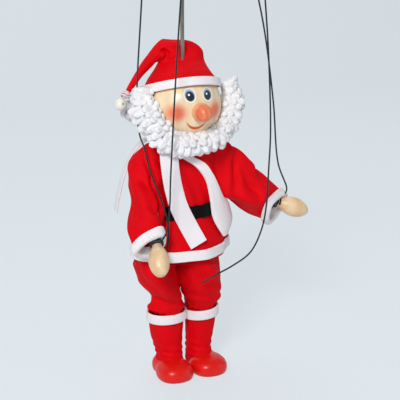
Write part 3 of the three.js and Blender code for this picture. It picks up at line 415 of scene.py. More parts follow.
# Head: a turned ball of pale lime wood, 42 mm, lacquered satin, drilled at the top for its rod. The
# features are brushed on through a stencil, so they have soft edges and no thickness.
def turned(name, profile, start, along, material, body, steps=48, closed=False):
    """A profile of (radius, distance) spun round an axis on the lathe."""
    across = along.cross(UP if abs(along.z) < 0.9 else Vector((0, 1, 0))).normalized()
    bm = bmesh.new()
    verts = [bm.verts.new(place(start + along * d + across * r)) for r, d in profile]
    edges = [bm.edges.new(pair) for pair in zip(verts, verts[1:] + verts[:1] if closed else verts[1:])]
    full = 2 * pi
    bmesh.ops.spin(
        bm, geom=verts + edges, cent=place(start), axis=along, angle=full, steps=steps, use_merge=True
    )
    bmesh.ops.remove_doubles(bm, verts=bm.verts, dist=1e-7)
    return finish_piece(name, bm, material, body, 50)


def softened(profile, steps=6):
    line = smooth_line([(r, d, 0) for r, d in profile], len(profile) * steps)
    return [(max(p.x, 0), p.y) for p in line]


def spot(tree, where, x, z, half_width, half_height, soft):
    """1 inside an ellipse seen from the front, 0 outside it and 0 on the back of the head."""
    split = add(tree, "SeparateXYZ", [where["Object"]])
    far = []
    for socket, centre, reach in ((0, x, half_width), (2, z - HOOK, half_height)):
        off = add(tree, "Math", [split.outputs[socket], centre * 0.001], operation="SUBTRACT")
        share = add(tree, "Math", [off, reach * 0.001], operation="DIVIDE")
        far.append(add(tree, "Math", [share, share], operation="MULTIPLY"))
    distance = add(tree, "Math", [add(tree, "Math", far, operation="ADD")], operation="SQRT")
    fade = {"Value": distance, "From Min": 1 - soft, "From Max": 1 + soft, "To Min": 1.0, "To Max": 0.0}
    edge = add(tree, "MapRange", fade, interpolation_type="SMOOTHSTEP")
    front = add(tree, "Math", [split.outputs[1], -0.002], operation="LESS_THAN")
    return add(tree, "Math", [edge, front], operation="MULTIPLY")


HEAD, BALL = Vector((0, 0, 154)), 21.0
lime, tree, surface, where = start_material(
    "lacquered_lime_wood",
    {"Roughness": 0.42, "Coat Weight": 0.25, "Coat Roughness": 0.2, "Subsurface Weight": 0.05,
     "Subsurface Scale": 0.002},
)
grain = grain_of(tree, where, (1, 0.6, 0.25), 5.7)
layer = add(tree, "Mix", {0: grain, 6: "efd3aa", 7: "f9e3c2"}, data_type="RGBA")
dabs = []
for x, z, size in ((-11.2, 153.2, 4.3), (10.9, 153.2, 4.1)):
    blush = spot(tree, where, x, z, size, size, 0.65)
    dabs.append((add(tree, "Math", [blush, 0.9], operation="MULTIPLY"), "f0602f"))
# The smile is the lower edge of one ellipse with another taken out of it
lower = spot(tree, where, -0.7, 150.4, 5.9, 6.7, 0.05)
upper = spot(tree, where, -0.7, 152.0, 6.5, 6.6, 0.05)
bare = add(tree, "Math", [1.0, upper], operation="SUBTRACT")
dabs.append((add(tree, "Math", [lower, bare], operation="MULTIPLY"), "dc5426"))
# White, iris, its dark edge and pupil: lift, half width, half height, softness and colour
EYE = (
    (0, 3.4, 3.75, 0.05, "fbfbfc"), (0.15, 2.9, 3.2, 0.07, "a2bfda"),
    (-0.4, 2.45, 2.7, 0.12, "17344f"), (-0.4, 1.7, 1.95, 0.15, "080c12"),
)
for x, z, size in ((-4.1, 162.3, 0.95), (6.3, 162.1, 0.92)):
    for lift, wide, high, soft, colour in EYE:
        dabs.append((spot(tree, where, x, z + lift, wide * size, high * size, soft), colour))
    dabs.append((spot(tree, where, x - 0.5, z + 0.4, 0.5, 0.55, 0.2), "ffffff"))
for cover, colour in dabs:
    layer = add(tree, "Mix", {0: cover, 6: layer, 7: colour}, data_type="RGBA")
end_material(tree, surface, layer, grain, 0.06, 0.0002)
ROD_HOLE = 1.3
hole = asin(ROD_HOLE / BALL)
angles = [i * (pi - hole) / 48 for i in range(49)]
ball = [(BALL * sin(a), -BALL * cos(a)) for a in angles]
ball += [(ROD_HOLE, BALL - 3), (0, BALL - 3)]
head = turned("head_ball_wood", ball, HEAD, UP, lime, "head", steps=72)
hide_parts("head_ball")

# Nose: a turned lime peg with a round tip, glued into the ball. Its tip was dipped in orange stain,
# so the colour fades towards the bare shoulder.
stain, tree, surface, where = start_material(
    "stained_lime_wood", {"Roughness": 0.4, "Coat Weight": 0.25}
)
forwards = add(tree, "SeparateXYZ", [where["Object"]]).outputs[1]
dip = {"Value": forwards, "From Min": -0.0218, "From Max": -0.0262, "To Min": 0.2, "To Max": 1.0}
tipped = add(tree, "MapRange", dip, interpolation_type="SMOOTHSTEP")
grain = grain_of(tree, where, (1, 0.3, 1), 3.5)
dipped = add(tree, "Mix", {0: grain, 6: "e8693c", 7: "f48b5e"}, data_type="RGBA")
shade = add(tree, "Mix", {0: tipped, 6: "f4c493", 7: dipped}, data_type="RGBA")
end_material(tree, surface, shade, grain, 0.1, 0.0002)
PEG = [
    (0, 2.2), (4.5, 2.4), (5.0, 3.4), (5.1, 4.2), (5.0, 5.2), (4.5, 6.1), (4.5, 7.4), (4.2, 9.2),
    (3.3, 10.6), (1.9, 11.6), (0, 12.0),
]
nose_from, nose_way = Vector((0.6, -18, 153.5)), Vector((0.04, -1, 0.02)).normalized()
nose = turned("nose_wood", softened(PEG, 4), nose_from, nose_way, stain, "head")
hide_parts("nose")


# Hat: red cotton cloth sewn to a cone, which folds over at the top and falls in a thin tail. It is
# open at the bottom, and stuck on the ball with a tilt to the back.
def woven(name, colour, dark, thread):
    """Plain cotton cloth. Its threads are 0.3 mm apart, drawn at twice that so that they show. The
    colour is painted lighter on the raised threads and darker in the gaps between them, as shade.
    """
    material, tree, surface, where = start_material(
        name, {"Roughness": 0.7, "Sheen Weight": 0.05, "Sheen Tint": colour, "Specular IOR Level": 0.1}
    )
    weave = {"Vector": where["UV"], "Scale": 3.14 / thread, "Distortion": 0.8}
    warp = add(tree, "TexWave", weave, bands_direction="X").outputs[1]
    weft = add(tree, "TexWave", weave, bands_direction="Y").outputs[1]
    slub = add(tree, "TexNoise", {"Vector": where["UV"], "Scale": 9, "Detail": 6})
    dye = add(tree, "TexNoise", {"Vector": where["Object"], "Scale": 45, "Detail": 3})
    threads = add(tree, "Math", [warp, weft], operation="MULTIPLY")
    height = add(tree, "Math", [threads, slub], operation="ADD")
    shade = add(tree, "Mix", {0: dye, 6: dark, 7: colour}, data_type="RGBA")
    # Painted shade: the raised threads take more of the plain colour, and the gaps between them stay
    # darker.
    raised = add(tree, "Math", [threads, 0.3], operation="MULTIPLY")
    shade = add(tree, "Mix", {0: raised, 6: shade, 7: colour}, data_type="RGBA")
    end_material(tree, surface, shade, height, 0.45, 0.00015)
    return material


def felted(name, colour, dark, nap, sheen):
    """Pressed felt, with fibres matted at about nap millimetres: a dull, faintly mottled surface."""
    material, tree, surface, where = start_material(
        name, {"Roughness": 0.95, "Sheen Weight": sheen, "Specular IOR Level": 0.1}
    )
    over = where["Object"]
    matted = add(tree, "TexNoise", {"Vector": over, "Scale": 1000 / nap, "Detail": 8, "Roughness": 0.7})
    fibre = add(tree, "TexVoronoi", {"Vector": over, "Scale": 1300 / nap}, feature="DISTANCE_TO_EDGE")
    broad = add(tree, "TexNoise", {"Vector": over, "Scale": 90, "Detail": 4})
    height = add(tree, "Math", [fibre, 0.8, matted], operation="MULTIPLY_ADD")
    blotch = add(tree, "Math", [broad, 0.5], operation="MULTIPLY")
    tone = add(tree, "Math", [matted, 0.5, blotch], operation="MULTIPLY_ADD")
    shade = add(tree, "Mix", {0: tone, 6: dark, 7: colour}, data_type="RGBA")
    end_material(tree, surface, shade, height, 0.5, 0.00025)
    return material


def bump(value, centre, width):
    return exp(-(((value - centre) / width) ** 2))


def turn_between(a, b):
    return (a - b + pi) % (2 * pi) - pi


red_cotton = woven("red_cotton_cloth", "ee0014", "d2000c", 0.6)
white_felt = felted("white_wool_felt", "fbf7f8", "e9e2e6", 1.4, 0.15)
FELT = 1.1
CLOTH = 0.9
TILT = radians(17)
BAND_UP = Vector((-0.028, sin(TILT), cos(TILT))).normalized()
BAND = HEAD + Vector((0, 0.25, 1)).normalized() * 9.6
TASSEL = Vector((-29.6, 4.5, 162.9))
# Middle, direction, half width and half depth of the hat's sections, from the band to the tip
HAT = [
    (BAND - BAND_UP * 1.0, BAND_UP, 20.4, 20.4),
    (BAND + BAND_UP * 0.6, BAND_UP, 20.6, 20.6),
    (BAND + BAND_UP * 6, BAND_UP, 17.6, 17.4),
    (Vector((2.1, 7, 175.8)), Vector((-0.04, 0.12, 1)), 13.6, 10.4),
    (Vector((1.9, 8, 179.6)), Vector((-0.21, 0, 0.98)), 13.1, 8.8),
    (Vector((-2.0, 8, 182.4)), Vector((-0.47, 0, 0.88)), 10.9, 7.7),
    (Vector((-6.3, 8, 183.4)), Vector((-0.71, 0, 0.7)), 7.0, 6.5),
    (Vector((-10.2, 7.8, 183.2)), Vector((-0.95, 0, 0.3)), 4.8, 5.0),
    (Vector((-13.8, 7.2, 179.9)), Vector((-0.9, -0.1, -0.42)), 3.3, 4.0),
    (Vector((-18.6, 6.6, 175.4)), Vector((-0.69, -0.12, -0.72)), 2.7, 3.2),
    (Vector((-23.7, 5.6, 170.2)), Vector((-0.69, -0.14, -0.72)), 2.2, 2.5),
    (TASSEL, Vector((-0.6, -0.1, -0.8)), 1.7, 1.7),
]


def spline(near, t):
    """Between the second and third of four values."""
    a, b, c, d = near
    square, cube = a * 2 - b * 5 + c * 4 - d, b * 3 - a - c * 3 + d
    return 0.5 * (b * 2 + (c - a) * t + square * t * t + cube * t**3)


def rumpled(angle, width, height):
    """Uneven swell of cloth at an angle round a piece."""
    return noise.noise(Vector((width * cos(angle), width * sin(angle), height)))


def hat_section(at, offset):
    i, last = min(int(at), len(HAT) - 2), len(HAT) - 1
    t = at - i
    near = [HAT[min(max(i + d, 0), last)] for d in (-1, 0, 1, 2)]
    middle, half_width, half_depth = (spline([n[k] for n in near], t) for k in (0, 2, 3))
    way = near[1][1].normalized().lerp(near[2][1].normalized(), t).normalized()
    u = Vector((0, 1, 0)).cross(way).normalized()
    v = way.cross(u)
    share = at / last
    lean = 1.42 * pi + (share - 0.56) * 5
    out = []
    for j in range(96):
        angle = 2 * pi * j / 96
        c, s = cos(angle), sin(angle)
        tuck = 0.5 * bump(share, 0.5, 0.14) * sin(5 * angle + 9 * share)
        rumple = rumpled(angle, 2, share * 9) * sin(pi * share)
        pinch = -4.0 * bump(share, 0.56, 0.09) * bump(turn_between(angle, lean), 0, 0.24)
        swell = 1.5 * bump(share, 0.53, 0.1) * bump(turn_between(angle, lean - 0.75), 0, 0.35)
        hollow = -2.2 * bump(share, 0.44, 0.06) * bump(turn_between(angle, 1.62 * pi), 0, 0.35)
        corner = 0.9 * bump(share, 0.63, 0.03) * bump(turn_between(angle, 0), 0, 0.6)
        push = tuck + 0.8 * rumple + pinch + swell + hollow + corner - 0.2
        push += offset * min(1.0, half_depth / 4)
        out.append(middle + u * ((half_width + push) * c) + v * ((half_depth + push) * s))
    return out


def sewn(name, section, places, body, wall=CLOTH):
    """A tube of red cotton, whose sections run along its outside and back along its inside."""
    rings = [section(at, 0) for at in places] + [section(at, -wall) for at in reversed(places)]
    return lofted(name, rings, "looped", red_cotton, body, cloth=True)


hat = sewn("hat_cloth", hat_section, [i / 7 for i in range(7 * (len(HAT) - 1) + 1)], "head")
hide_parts("hat")


# Hat band: a strip of white wool felt, 4.6 mm wide, glued round the edge of the hat. Its cut edges are
# rounded a little, as on every strip of felt here.
def strip_rings(stations, width, thickness):
    """Rounded sections of a felt strip; a station is its middle, its outward and its cross direction."""
    out = []
    for i, (middle, outward, across) in enumerate(stations):
        wide = width(i / max(len(stations) - 1, 1)) if callable(width) else width
        section = []
        for k in range(16):
            angle = 2 * pi * (k + 0.5) / 16
            c, s = cos(angle), sin(angle)
            x = copysign(abs(c) ** 0.28, c) * wide / 2
            y = copysign(abs(s) ** 0.55, s) * thickness / 2
            section.append(middle + across * x + outward * y)
        out.append(section)
    return out


stations = []
for j in range(120):
    angle = 2 * pi * j / 120
    out = Vector((1, 0, 0)) * cos(angle) + BAND_UP.cross(Vector((1, 0, 0))) * sin(angle)
    lift = 0.25 * sin(3 * angle + 0.4)
    stations.append((BAND + out * (20.9 + FELT / 2 + 0.3 * lift) + BAND_UP * lift, out, BAND_UP))
strip = strip_rings(stations, 4.6, FELT)
band = lofted("hat_band_felt", strip, "looped", white_felt, "head")
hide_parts("hat_band")

# Tassel: the hat's tip is bound with two turns of white cotton thread over a knot, from which a
# wooden bead in pearly lacquer hangs.
TAIL_WAY = Vector((-0.6, -0.1, -0.8)).normalized()
# The thread's pink second colour is the painted shade in the grooves between its plies.
white_thread = twisted("white_cotton_thread", "f6e9ec", "dcaab4", 60.0, 0.85, 0.6, 0.0001)


def winding(middle, along, radius, turns):
    pitch = 2 * CORD + 0.5
    t = along.normalized()
    u = t.cross(UP).normalized()
    v = t.cross(u)
    points = []
    for i in range(24 * turns + 1):
        angle = 2 * pi * i / 24
        out = (u * cos(angle) + v * sin(angle)) * radius
        points.append(middle + out + t * (pitch * (i / 24 - turns / 2)))
    points.insert(0, points[0] - (points[1] - points[0]).normalized() * 2 * CORD)
    points.append(points[-1] + (points[-1] - points[-2]).normalized() * 2 * CORD)
    return points


KNOT = [(0.1, 0.0), (1.4, 0.1), (1.5, 1.0), (1.4, 2.6), (1.2, 3.6), (0.5, 4.6), (0.1, 4.7)]
bound = softened(KNOT, 4)
line = [TASSEL + TAIL_WAY * (GAP + d) for _, d in bound]
rings = tube_rings(line, lambda t: max(bound[round(t * (len(bound) - 1))][0], 0.1), 24)
knot = lofted("hat_tassel_knot_thread", rings, "capped", white_thread, "head")
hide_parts("hat_tassel_knot")
coil = winding(TASSEL + TAIL_WAY * 2.6, TAIL_WAY, 1.5 + GAP + CORD, 2)
rings = tube_rings(coil, CORD, 8)
thread = lofted("hat_tassel_wrap", rings, "capped", white_thread, "head")
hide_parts("hat_tassel_thread")
pearl, tree, surface, where = start_material(
    "pearl_lacquered_bead", {"Roughness": 0.25, "Coat Weight": 0.6}
)
swirl = add(tree, "TexNoise", {"Vector": where["Object"], "Scale": 300, "Detail": 3, "Distortion": 1.5})
shade = add(tree, "Mix", {0: swirl, 6: "e4dccb", 7: "f8f4ec"}, data_type="RGBA")
end_material(tree, surface, shade, swirl, 0.05, 0.00005)
PEARL = 3.3
middle = TASSEL + TAIL_WAY * (GAP + 4.6 + GAP + PEARL)
bore = Vector((0.25, -0.9, 0.2)).normalized()
angles = [0.45 + i * 0.14 for i in range(17)]
curve = [(0.7, -3.0)] + [(PEARL * sin(a), -PEARL * cos(a)) for a in angles] + [(0.7, 3.0)]
bead = turned(
    "hat_bead_pearl", curve, middle, bore, pearl, "tassel_bead", steps=36, closed=True
)
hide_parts("hat_bead")

# Beard and hair: thick white acrylic yarn sewn in rows of loops on a cord round the face and the
# nape. The loops stand out from the face like a fringe, and hide the seam between ball and hat.
# The yarn's second colour is the painted shade in the grooves between its plies.
yarn = twisted("white_acrylic_yarn", "fdfcfd", "e9e8ec", 16.0, 0.9, 0.9, 0.0003)
# The bare face's middle and half sizes, and how far the loops' tips stay off the ball
FACE_MIDDLE, FACE_WIDE, FACE_HIGH, CLEAR = Vector((1.5, 0, 156)), 15.6, 14.4, 1.9
# Middle and radius of each roll of loops
BEARD = [
    ((-24.4, -3.6, 163.4), 5.2), ((-25.6, -6.8, 156), 8.8), ((-21, -12, 145.5), 7.2),
    ((-14.6, -14.8, 137.2), 7.0), ((0, -17.4, 135.8), 6.6), ((12.6, -14.8, 137.8), 6.6),
    ((22.8, -8.6, 144.2), 6.9), ((28.8, -3, 155), 6.9), ((26.4, -1, 165.2), 4.8),
]
HAIR = [
    ((-27, 9.5, 152), 5), ((-23, 17, 150), 6.4), ((-12.6, 23, 148), 6.8), ((0, 25.2, 147.5), 7),
    ((12.6, 23, 148), 6.8), ((23, 17, 150), 6.4), ((27, 9.5, 152), 5),
]


def fringe(name, node, rolls, facing, spacing):
    steps = 60
    line = smooth_line([middle for middle, _ in rolls], steps)
    radii = [radius for _, radius in rolls]

    def size(t):
        k = min(int(t * (len(radii) - 1)), len(radii) - 2)
        return lerp(radii[k], radii[k + 1], t * (len(radii) - 1) - k)

    bm = bmesh.new()
    core = [p - (p - HEAD).normalized() * size(i / steps) * 0.25 for i, p in enumerate(line)]
    add_loft(bm, tube_rings(core, lambda t: size(t) * 0.66, 20), "capped")
    count = int(sum((b - a).length for a, b in zip(line, line[1:])) / spacing)
    axes = steady_axes(line)
    for level, tip_turn in enumerate((115, 78, 40, 2, -38, -80, -122)):
        for i in range(count):
            along = i + 0.3 + 0.5 * (level % 2) + random.uniform(-0.18, 0.18)
            t = min(max(along / count, 0.01), 0.99)
            k = min(int(t * steps), steps - 1)
            point, tangent, r = line[k].lerp(line[k + 1], t * steps - k), axes[k][0], size(t)
            away = point - HEAD
            away = (away - tangent * away.dot(tangent)).normalized()
            over = tangent.cross(away)
            over *= copysign(1, over.dot(facing))
            turn = radians(tip_turn + random.uniform(-9, 9))
            root_turn = turn + radians(72)
            root = point + (away * cos(root_turn) + over * sin(root_turn)) * r * 0.68
            reach = r + random.uniform(-0.5, 0.9)
            tip = point + (away * cos(turn) + over * sin(turn)) * reach
            tip += tangent * random.uniform(-1.2, 1.2)
            if (tip - HEAD).length < BALL + CLEAR:
                tip = HEAD + (tip - HEAD).normalized() * (BALL + CLEAR)
            off = tip - FACE_MIDDLE
            aside = Vector((off.x / FACE_WIDE, 0, off.z / FACE_HIGH))
            if tip.y < -6 and aside.length < 1:
                aside = aside.normalized()
                tip.x = FACE_MIDDLE.x + aside.x * FACE_WIDE
                tip.z = FACE_MIDDLE.z + aside.z * FACE_HIGH
            way = (tip - root).normalized()
            thick = random.uniform(1.4, 1.75)
            long = max((tip - root).length - thick, 2.0)
            lean = random.uniform(-0.5, 0.5)
            spread = tangent * cos(lean) + way.cross(tangent).normalized() * sin(lean)
            spread = (spread - way * spread.dot(way)).normalized()
            half = random.uniform(0.55, 0.85)
            bow = way.cross(spread) * random.uniform(-0.7, 0.7)
            loop = []
            for m in range(13):
                a = pi * m / 12
                rise = sin(a) ** 0.7
                leg = half * cos(a) * (0.75 + 0.45 * rise)
                loop.append(root + way * (long * rise) + bow * rise - spread * leg)
            swell = tube_rings(loop, lambda s: thick * (0.9 + 0.14 * sin(pi * s)), 9)
            add_loft(bm, swell, "capped")
    obj = finish_piece(name, bm, yarn, "head", 80)
    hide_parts(node)


fringe("beard_yarn", "beard", BEARD, Vector((0, -1, 0)), 4.1)
fringe("hair_yarn", "hair", HAIR, UP, 4.3)

# Coat: the same red cotton, sewn to a short flared coat that hangs from the shoulders of the torso
# block. The belt draws it in, and it stands in soft folds over the chest and below the waist.
HEM, WAIST, BELT = 71.0, 97.0, 7.5
NECK = 132.7
# Height, half width and half depth
COAT = [
    (HEM, 28.5, 21.0), (HEM + 6.5, 27.5, 20.1), (HEM + 14.3, 24.34, 17.88),
    (WAIST - BELT / 2 - 1, 21.3, 15.6), (WAIST, 20.5, 15.0), (WAIST + BELT / 2 + 1, 21.0, 15.5),
    (WAIST + 16.5, 22.5, 15.0), (123.0, 23.4, 13.0), (129.0, 21.6, 11.0), (NECK - 0.4, 16.0, 8.6),
    (NECK + 1, 9.1, 8.0),
]


def between(rows, share):
    """Values of a table at a share of its length, rows being evenly spaced."""
    at = min(max(share, 0), 1) * (len(rows) - 1)
    k = min(int(at), len(rows) - 2)
    return [lerp(a, b, at - k) for a, b in zip(rows[k], rows[k + 1])]


def fold_edge(value):
    """A fold's height round a piece: sharp at its ridge, hollow between two ridges."""
    wave = 0.5 + 0.5 * sin(value)
    return 2 * wave**2.2 - 1


def coat_size(z):
    z = min(max(z, COAT[0][0]), COAT[-1][0])
    for low, high in zip(COAT, COAT[1:]):
        if z <= high[0]:
            t = (z - low[0]) / (high[0] - low[0])
            return lerp(low[1], high[1], t), lerp(low[2], high[2], t)
    return COAT[-1][1], COAT[-1][2]


def coat_point(z, angle, offset, detail=1.0):
    soft = [coat_size(z + d) for d in (-1.5, 0, 1.5)]
    half_width = sum(s[0] for s in soft) / 3
    half_depth = sum(s[1] for s in soft) / 3
    drop = max(0.0, (WAIST - z) / (WAIST - HEM))
    up = max(0.0, (z - WAIST) / (NECK - WAIST))
    fold = 0.9 * drop * sin(6 * angle + 0.7)
    pleat = 0.35 * bump(z, WAIST, 7.0) * sin(19 * angle + 2 * sin(3 * angle))
    skirt = 1.1 * drop * fold_edge(5 * angle + 2.2)
    chest = 2.5 * fold_edge(7 * angle + 5 * up) * sin(pi * min(up, 1)) * (1 - 0.4 * up)
    rumple = rumpled(angle, 2.2, z * 0.09) * (0.3 + 0.7 * drop)
    push = fold + detail * (pleat + skirt + chest + rumple - 0.35) + offset
    x, y = (half_width + push) * cos(angle), (half_depth + push) * sin(angle)
    return Vector((-2.6 * drop + x, y, z))


def coat_ring(z, offset, count):
    return [coat_point(z, 2 * pi * j / count, offset) for j in range(count)]


heights = [lerp(HEM, NECK + 1, share) for share in shares(46)]
coat = sewn("coat_cloth", lambda z, offset: coat_ring(z, offset, 128), heights, "torso")
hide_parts("coat")


# Hem band and belt: strips of white and of black wool felt, glued round the edge of the coat and
# round its waist. Their cut edges waver a little.
def coat_band(name, node, low, high, material, waver):
    a, b, c = (coat_ring(z, 0, 144) for z in (low, (low + high) / 2, high))
    middle = sum(b, Vector()) / len(b)
    stations = []
    for lower, on, upper in zip(a, b, c):
        across = (upper - lower).normalized()
        out = on - middle
        out = (out - across * out.dot(across)).normalized()
        stations.append((on + out * (GAP + FELT / 2), out, across))

    def cut(t):
        return high - low + waver * rumpled(2 * pi * t, 9, low)

    obj = lofted(name, strip_rings(stations, cut, FELT), "looped", material, "torso")
    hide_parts(node)
    return obj


black_felt = felted("black_wool_felt", "121315", "060607", 1.4, 0.04)
hem = coat_band("coat_hem_felt", "coat_hem_band", HEM, HEM + 5.8, white_felt, 0.3)
coat_band("belt_felt", "belt", WAIST - BELT / 2, WAIST + BELT / 2, black_felt, 0.9)

# Sleeves: tubes of the same cotton, sewn in at the shoulders, which hang in creases under the arm
# sticks. Their mouths are edged outside and inside with a folded strip of white felt, the cuff.
# Line from the shoulder, its end at the wrist, way of the mouth and half sizes, then how the folds lie
SLEEVES = {
    "left": (
        [(-3, -2, -3.6), (5.5, -4, -11), (15, -6.6, -20.8), (25, -8.4, -28)],
        (1, 0.5, -4.4),
        Vector((0.5, -0.79, -0.36)),
        [(9.6, 14.5), (10, 13.4), (10.4, 12.2), (10, 11.2), (9.8, 9.8)],
        (1.9, 4.2, 4),
    ),
    "right": (
        [(3, -1, -1.6), (-2.6, -2.4, -5), (-6.4, -7.2, -15), (-9.4, -15.6, -26), (-11.6, -21.4, -34.4)],
        (-2.8, 1.4, -2.4),
        Vector((0.15, -0.82, -0.55)),
        [(10, 10.5), (10, 10.8), (9.5, 10), (9.7, 9.6), (9.6, 9.4), (8.8, 9.1)],
        (1.5, 2.4, 5),
    ),
}
# Each crease runs round the sleeve from one angle to another, between two shares of its length, with
# its width as an angle and its depth
CREASES = {
    "left": [
        (-1.9, 0.9, 0.02, 0.55, 0.26, 3.2), (-0.9, 0.4, 0.3, 0.9, 0.3, 2.8),
        (-2.2, -1.2, 0.2, 0.8, 0.26, 1.6),
    ],
    "right": [
        (-1.9, -2.5, 0.02, 0.6, 0.22, 2.6), (-0.8, -0.4, 0.05, 0.7, 0.25, 1.2),
        (-2.8, -2.6, 0.3, 1.0, 0.25, 1.8),
    ],
}
LINES, LINE_STEPS = {}, 100
for side, (points, end, _, _, _) in SLEEVES.items():
    line = [SHOULDER[side] + Vector(p) for p in points] + [WRIST[side] + Vector(end)]
    LINES[side] = smooth_line(line, LINE_STEPS)


def oval(middle, along, half_width, half_depth, count, wave):
    """A section across a direction; wave gives how far it swells at an angle."""
    t = along.normalized()
    u = Vector((1, 0, 0)) if abs(t.z) > 0.999 else t.cross(UP).normalized()
    v = t.cross(u)
    out = []
    for j in range(count):
        a = 2 * pi * j / count
        push = wave(a)
        x, y = (half_width + push) * cos(a), (half_depth + push) * sin(a)
        out.append(middle + u * x + v * y)
    return out


def sleeve_ring(side, share, offset, count):
    line, (_, _, mouth, sizes, (deep_fold, phase, seed)) = LINES[side], SLEEVES[side]
    k = min(max(share, 0), 1) * LINE_STEPS
    i = min(int(k), LINE_STEPS - 1)
    way = (line[min(i + 4, LINE_STEPS)] - line[max(i - 3, 0)]).normalized()
    turn = min(max(0.0, (share - 0.6) / 0.4), 1.0)
    way = way.lerp(mouth, turn * turn * (3 - 2 * turn)).normalized()
    middle = line[i].lerp(line[i + 1], k - i) + way * (max(0.0, share - 1) * 50)
    width, depth = between(sizes, share)

    def wave(angle):
        crease = 0.7 * bump(share, 0.42, 0.22) * sin(17 * share + 2 * cos(angle - 0.6))
        folds = deep_fold * fold_edge(3 * angle + 5.2 * share + phase)
        for start, end, begin, finish, wide, deep in CREASES[side]:
            along = min(max((share - begin) / (finish - begin), 0.0), 1.0)
            off = turn_between(angle, lerp(start, end, along))
            groove = bump(off, 0, wide) - 0.45 * bump(off, wide * 1.9, wide)
            folds -= deep * sin(pi * along) * groove
        folds *= 0.35 + 0.65 * sin(pi * min(share, 1))
        return offset + crease + folds + 0.9 * rumpled(angle, 1.8, share * 6 + seed) - 0.3

    return oval(middle, way, width, depth, count, wave)


# Share of the length and distance from the sleeve, round the folded strip
OVER, UNDER = GAP + FELT, -CLOTH - GAP - FELT
CUFF = [
    (0.935, GAP), (0.928, GAP + 0.4), (0.932, OVER), (0.955, OVER), (0.978, OVER), (1.0, OVER),
    (1.018, OVER - 0.3), (1.028, -0.2), (1.018, UNDER + 0.3), (1.0, UNDER), (0.965, UNDER),
    (0.935, UNDER), (0.932, UNDER + 0.6), (0.935, -CLOTH - GAP), (0.965, -CLOTH - GAP),
    (1.004, -CLOTH - GAP), (1.006, -0.4), (1.004, GAP), (0.965, GAP),
]
for side in ("left", "right"):
    sleeve = sewn(
        side + "_sleeve_cloth", lambda at, offset: sleeve_ring(side, at, offset, 80), shares(40), None
    )
    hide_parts(side + "_sleeve")
    edging = [sleeve_ring(side, share, out, 96) for share, out in CUFF]
    cuff = lofted(
        side + "_cuff_felt", edging, "looped", white_felt, side + "_arm", sharp=80
    )
    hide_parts(side + "_cuff")
    start, end = SHOULDER[side] - ARM[side] * 4, SHOULDER[side] + ARM[side] * 10
    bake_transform(sleeve)

# Hands: maple, turned like an egg on a neck, sanded and waxed. The neck goes into the sleeve, and two
# turns of the hand string's black cord tie it there.
maple = wooden("waxed_maple", "f2d5ae", "e2b98a", (0.5, 1, 0.5), 4.2, 0.42, 0.2)
EGG = [
    (0, -2.6), (2.0, -2.6), (2.5, -2.2), (2.55, 2.0), (2.8, 3.2), (4.2, 6.0), (5.2, 9.0),
    (5.6, 12.0), (5.25, 15.0), (4.3, 17.8), (2.6, 20.2), (1.1, 21.2), (0, 21.4),
]
for side in ("left", "right"):
    name, body = side + "_hand_wood", side + "_hand"
    hand = turned(name, softened(EGG), WRIST[side], HAND[side], maple, body)
    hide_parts(side + "_hand")
    rings = tube_rings(winding(TIE[side], HAND[side], NECK_OF_HAND + GAP + CORD, 2), CORD, 8)
    tie = lofted(side + "_wrist_thread", rings, "capped", black_cord, side + "_hand")
    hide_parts(side + "_wrist_tie")

# Scarf: one strip of white felt, laid round the neck under the beard. One end runs down the front
# and under the belt, the other hangs behind the right shoulder.
LIFT = GAP + FELT + GAP + FELT / 2
SCARF = 8.6


def front(z):
    return -coat_size(z)[1] - LIFT


# Middle, cross direction and width of each end's stations
SCARF_FRONT = [
    ((-0.3, front(80), 80.5), (1, -0.1, 0.45), SCARF + 1.4),
    ((-5.2, front(90), 91), (1, 0, 0.42), SCARF + 1.6),
    ((-10.2, front(101), 102), (1, 0.05, 0.3), SCARF + 1.8),
    ((-12.9, front(112) + 1, 113), (1, 0.1, 0.06), SCARF + 2.2),
    ((-14.2, front(122), 123), (1, 0.1, 0.04), SCARF + 2.2),
    ((-13.8, -12.6, 131), (1, 0.1, 0.04), SCARF + 2.2),
]
SCARF_BACK = [
    ((-5, 8.6, 134), (0.2, 0.5, 0.1), SCARF - 2), ((-14, 16.4, 133), (0.3, 0.8, 0), SCARF),
    ((-21, 18.6, 127), (0.36, 0.93, 0), SCARF), ((-26.4, 20.4, 115), (0.24, 0.97, 0), SCARF),
    ((-29.6, 21.6, 103), (0.2, 0.98, 0), SCARF), ((-31.6, 22.4, 92), (0.2, 0.98, 0), SCARF),
]
for node, points, area in (("scarf_front", SCARF_FRONT, 0.00053), ("scarf_back", SCARF_BACK, 0.00046)):
    line = smooth_line([p[0] for p in points], 60)
    stations = []
    for i, (point, (t, _, _)) in enumerate(zip(line, steady_axes(line))):
        out = t.cross(Vector(between([p[1] for p in points], i / 60)).normalized()).normalized()
        stations.append((point, out, out.cross(t).normalized()))
    widths = [(p[2],) for p in points]
    rings = strip_rings(stations, lambda t: between(widths, t)[0], FELT)
    scarf = lofted(node + "_felt", rings, "capped", white_felt, "torso")
    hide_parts(node)

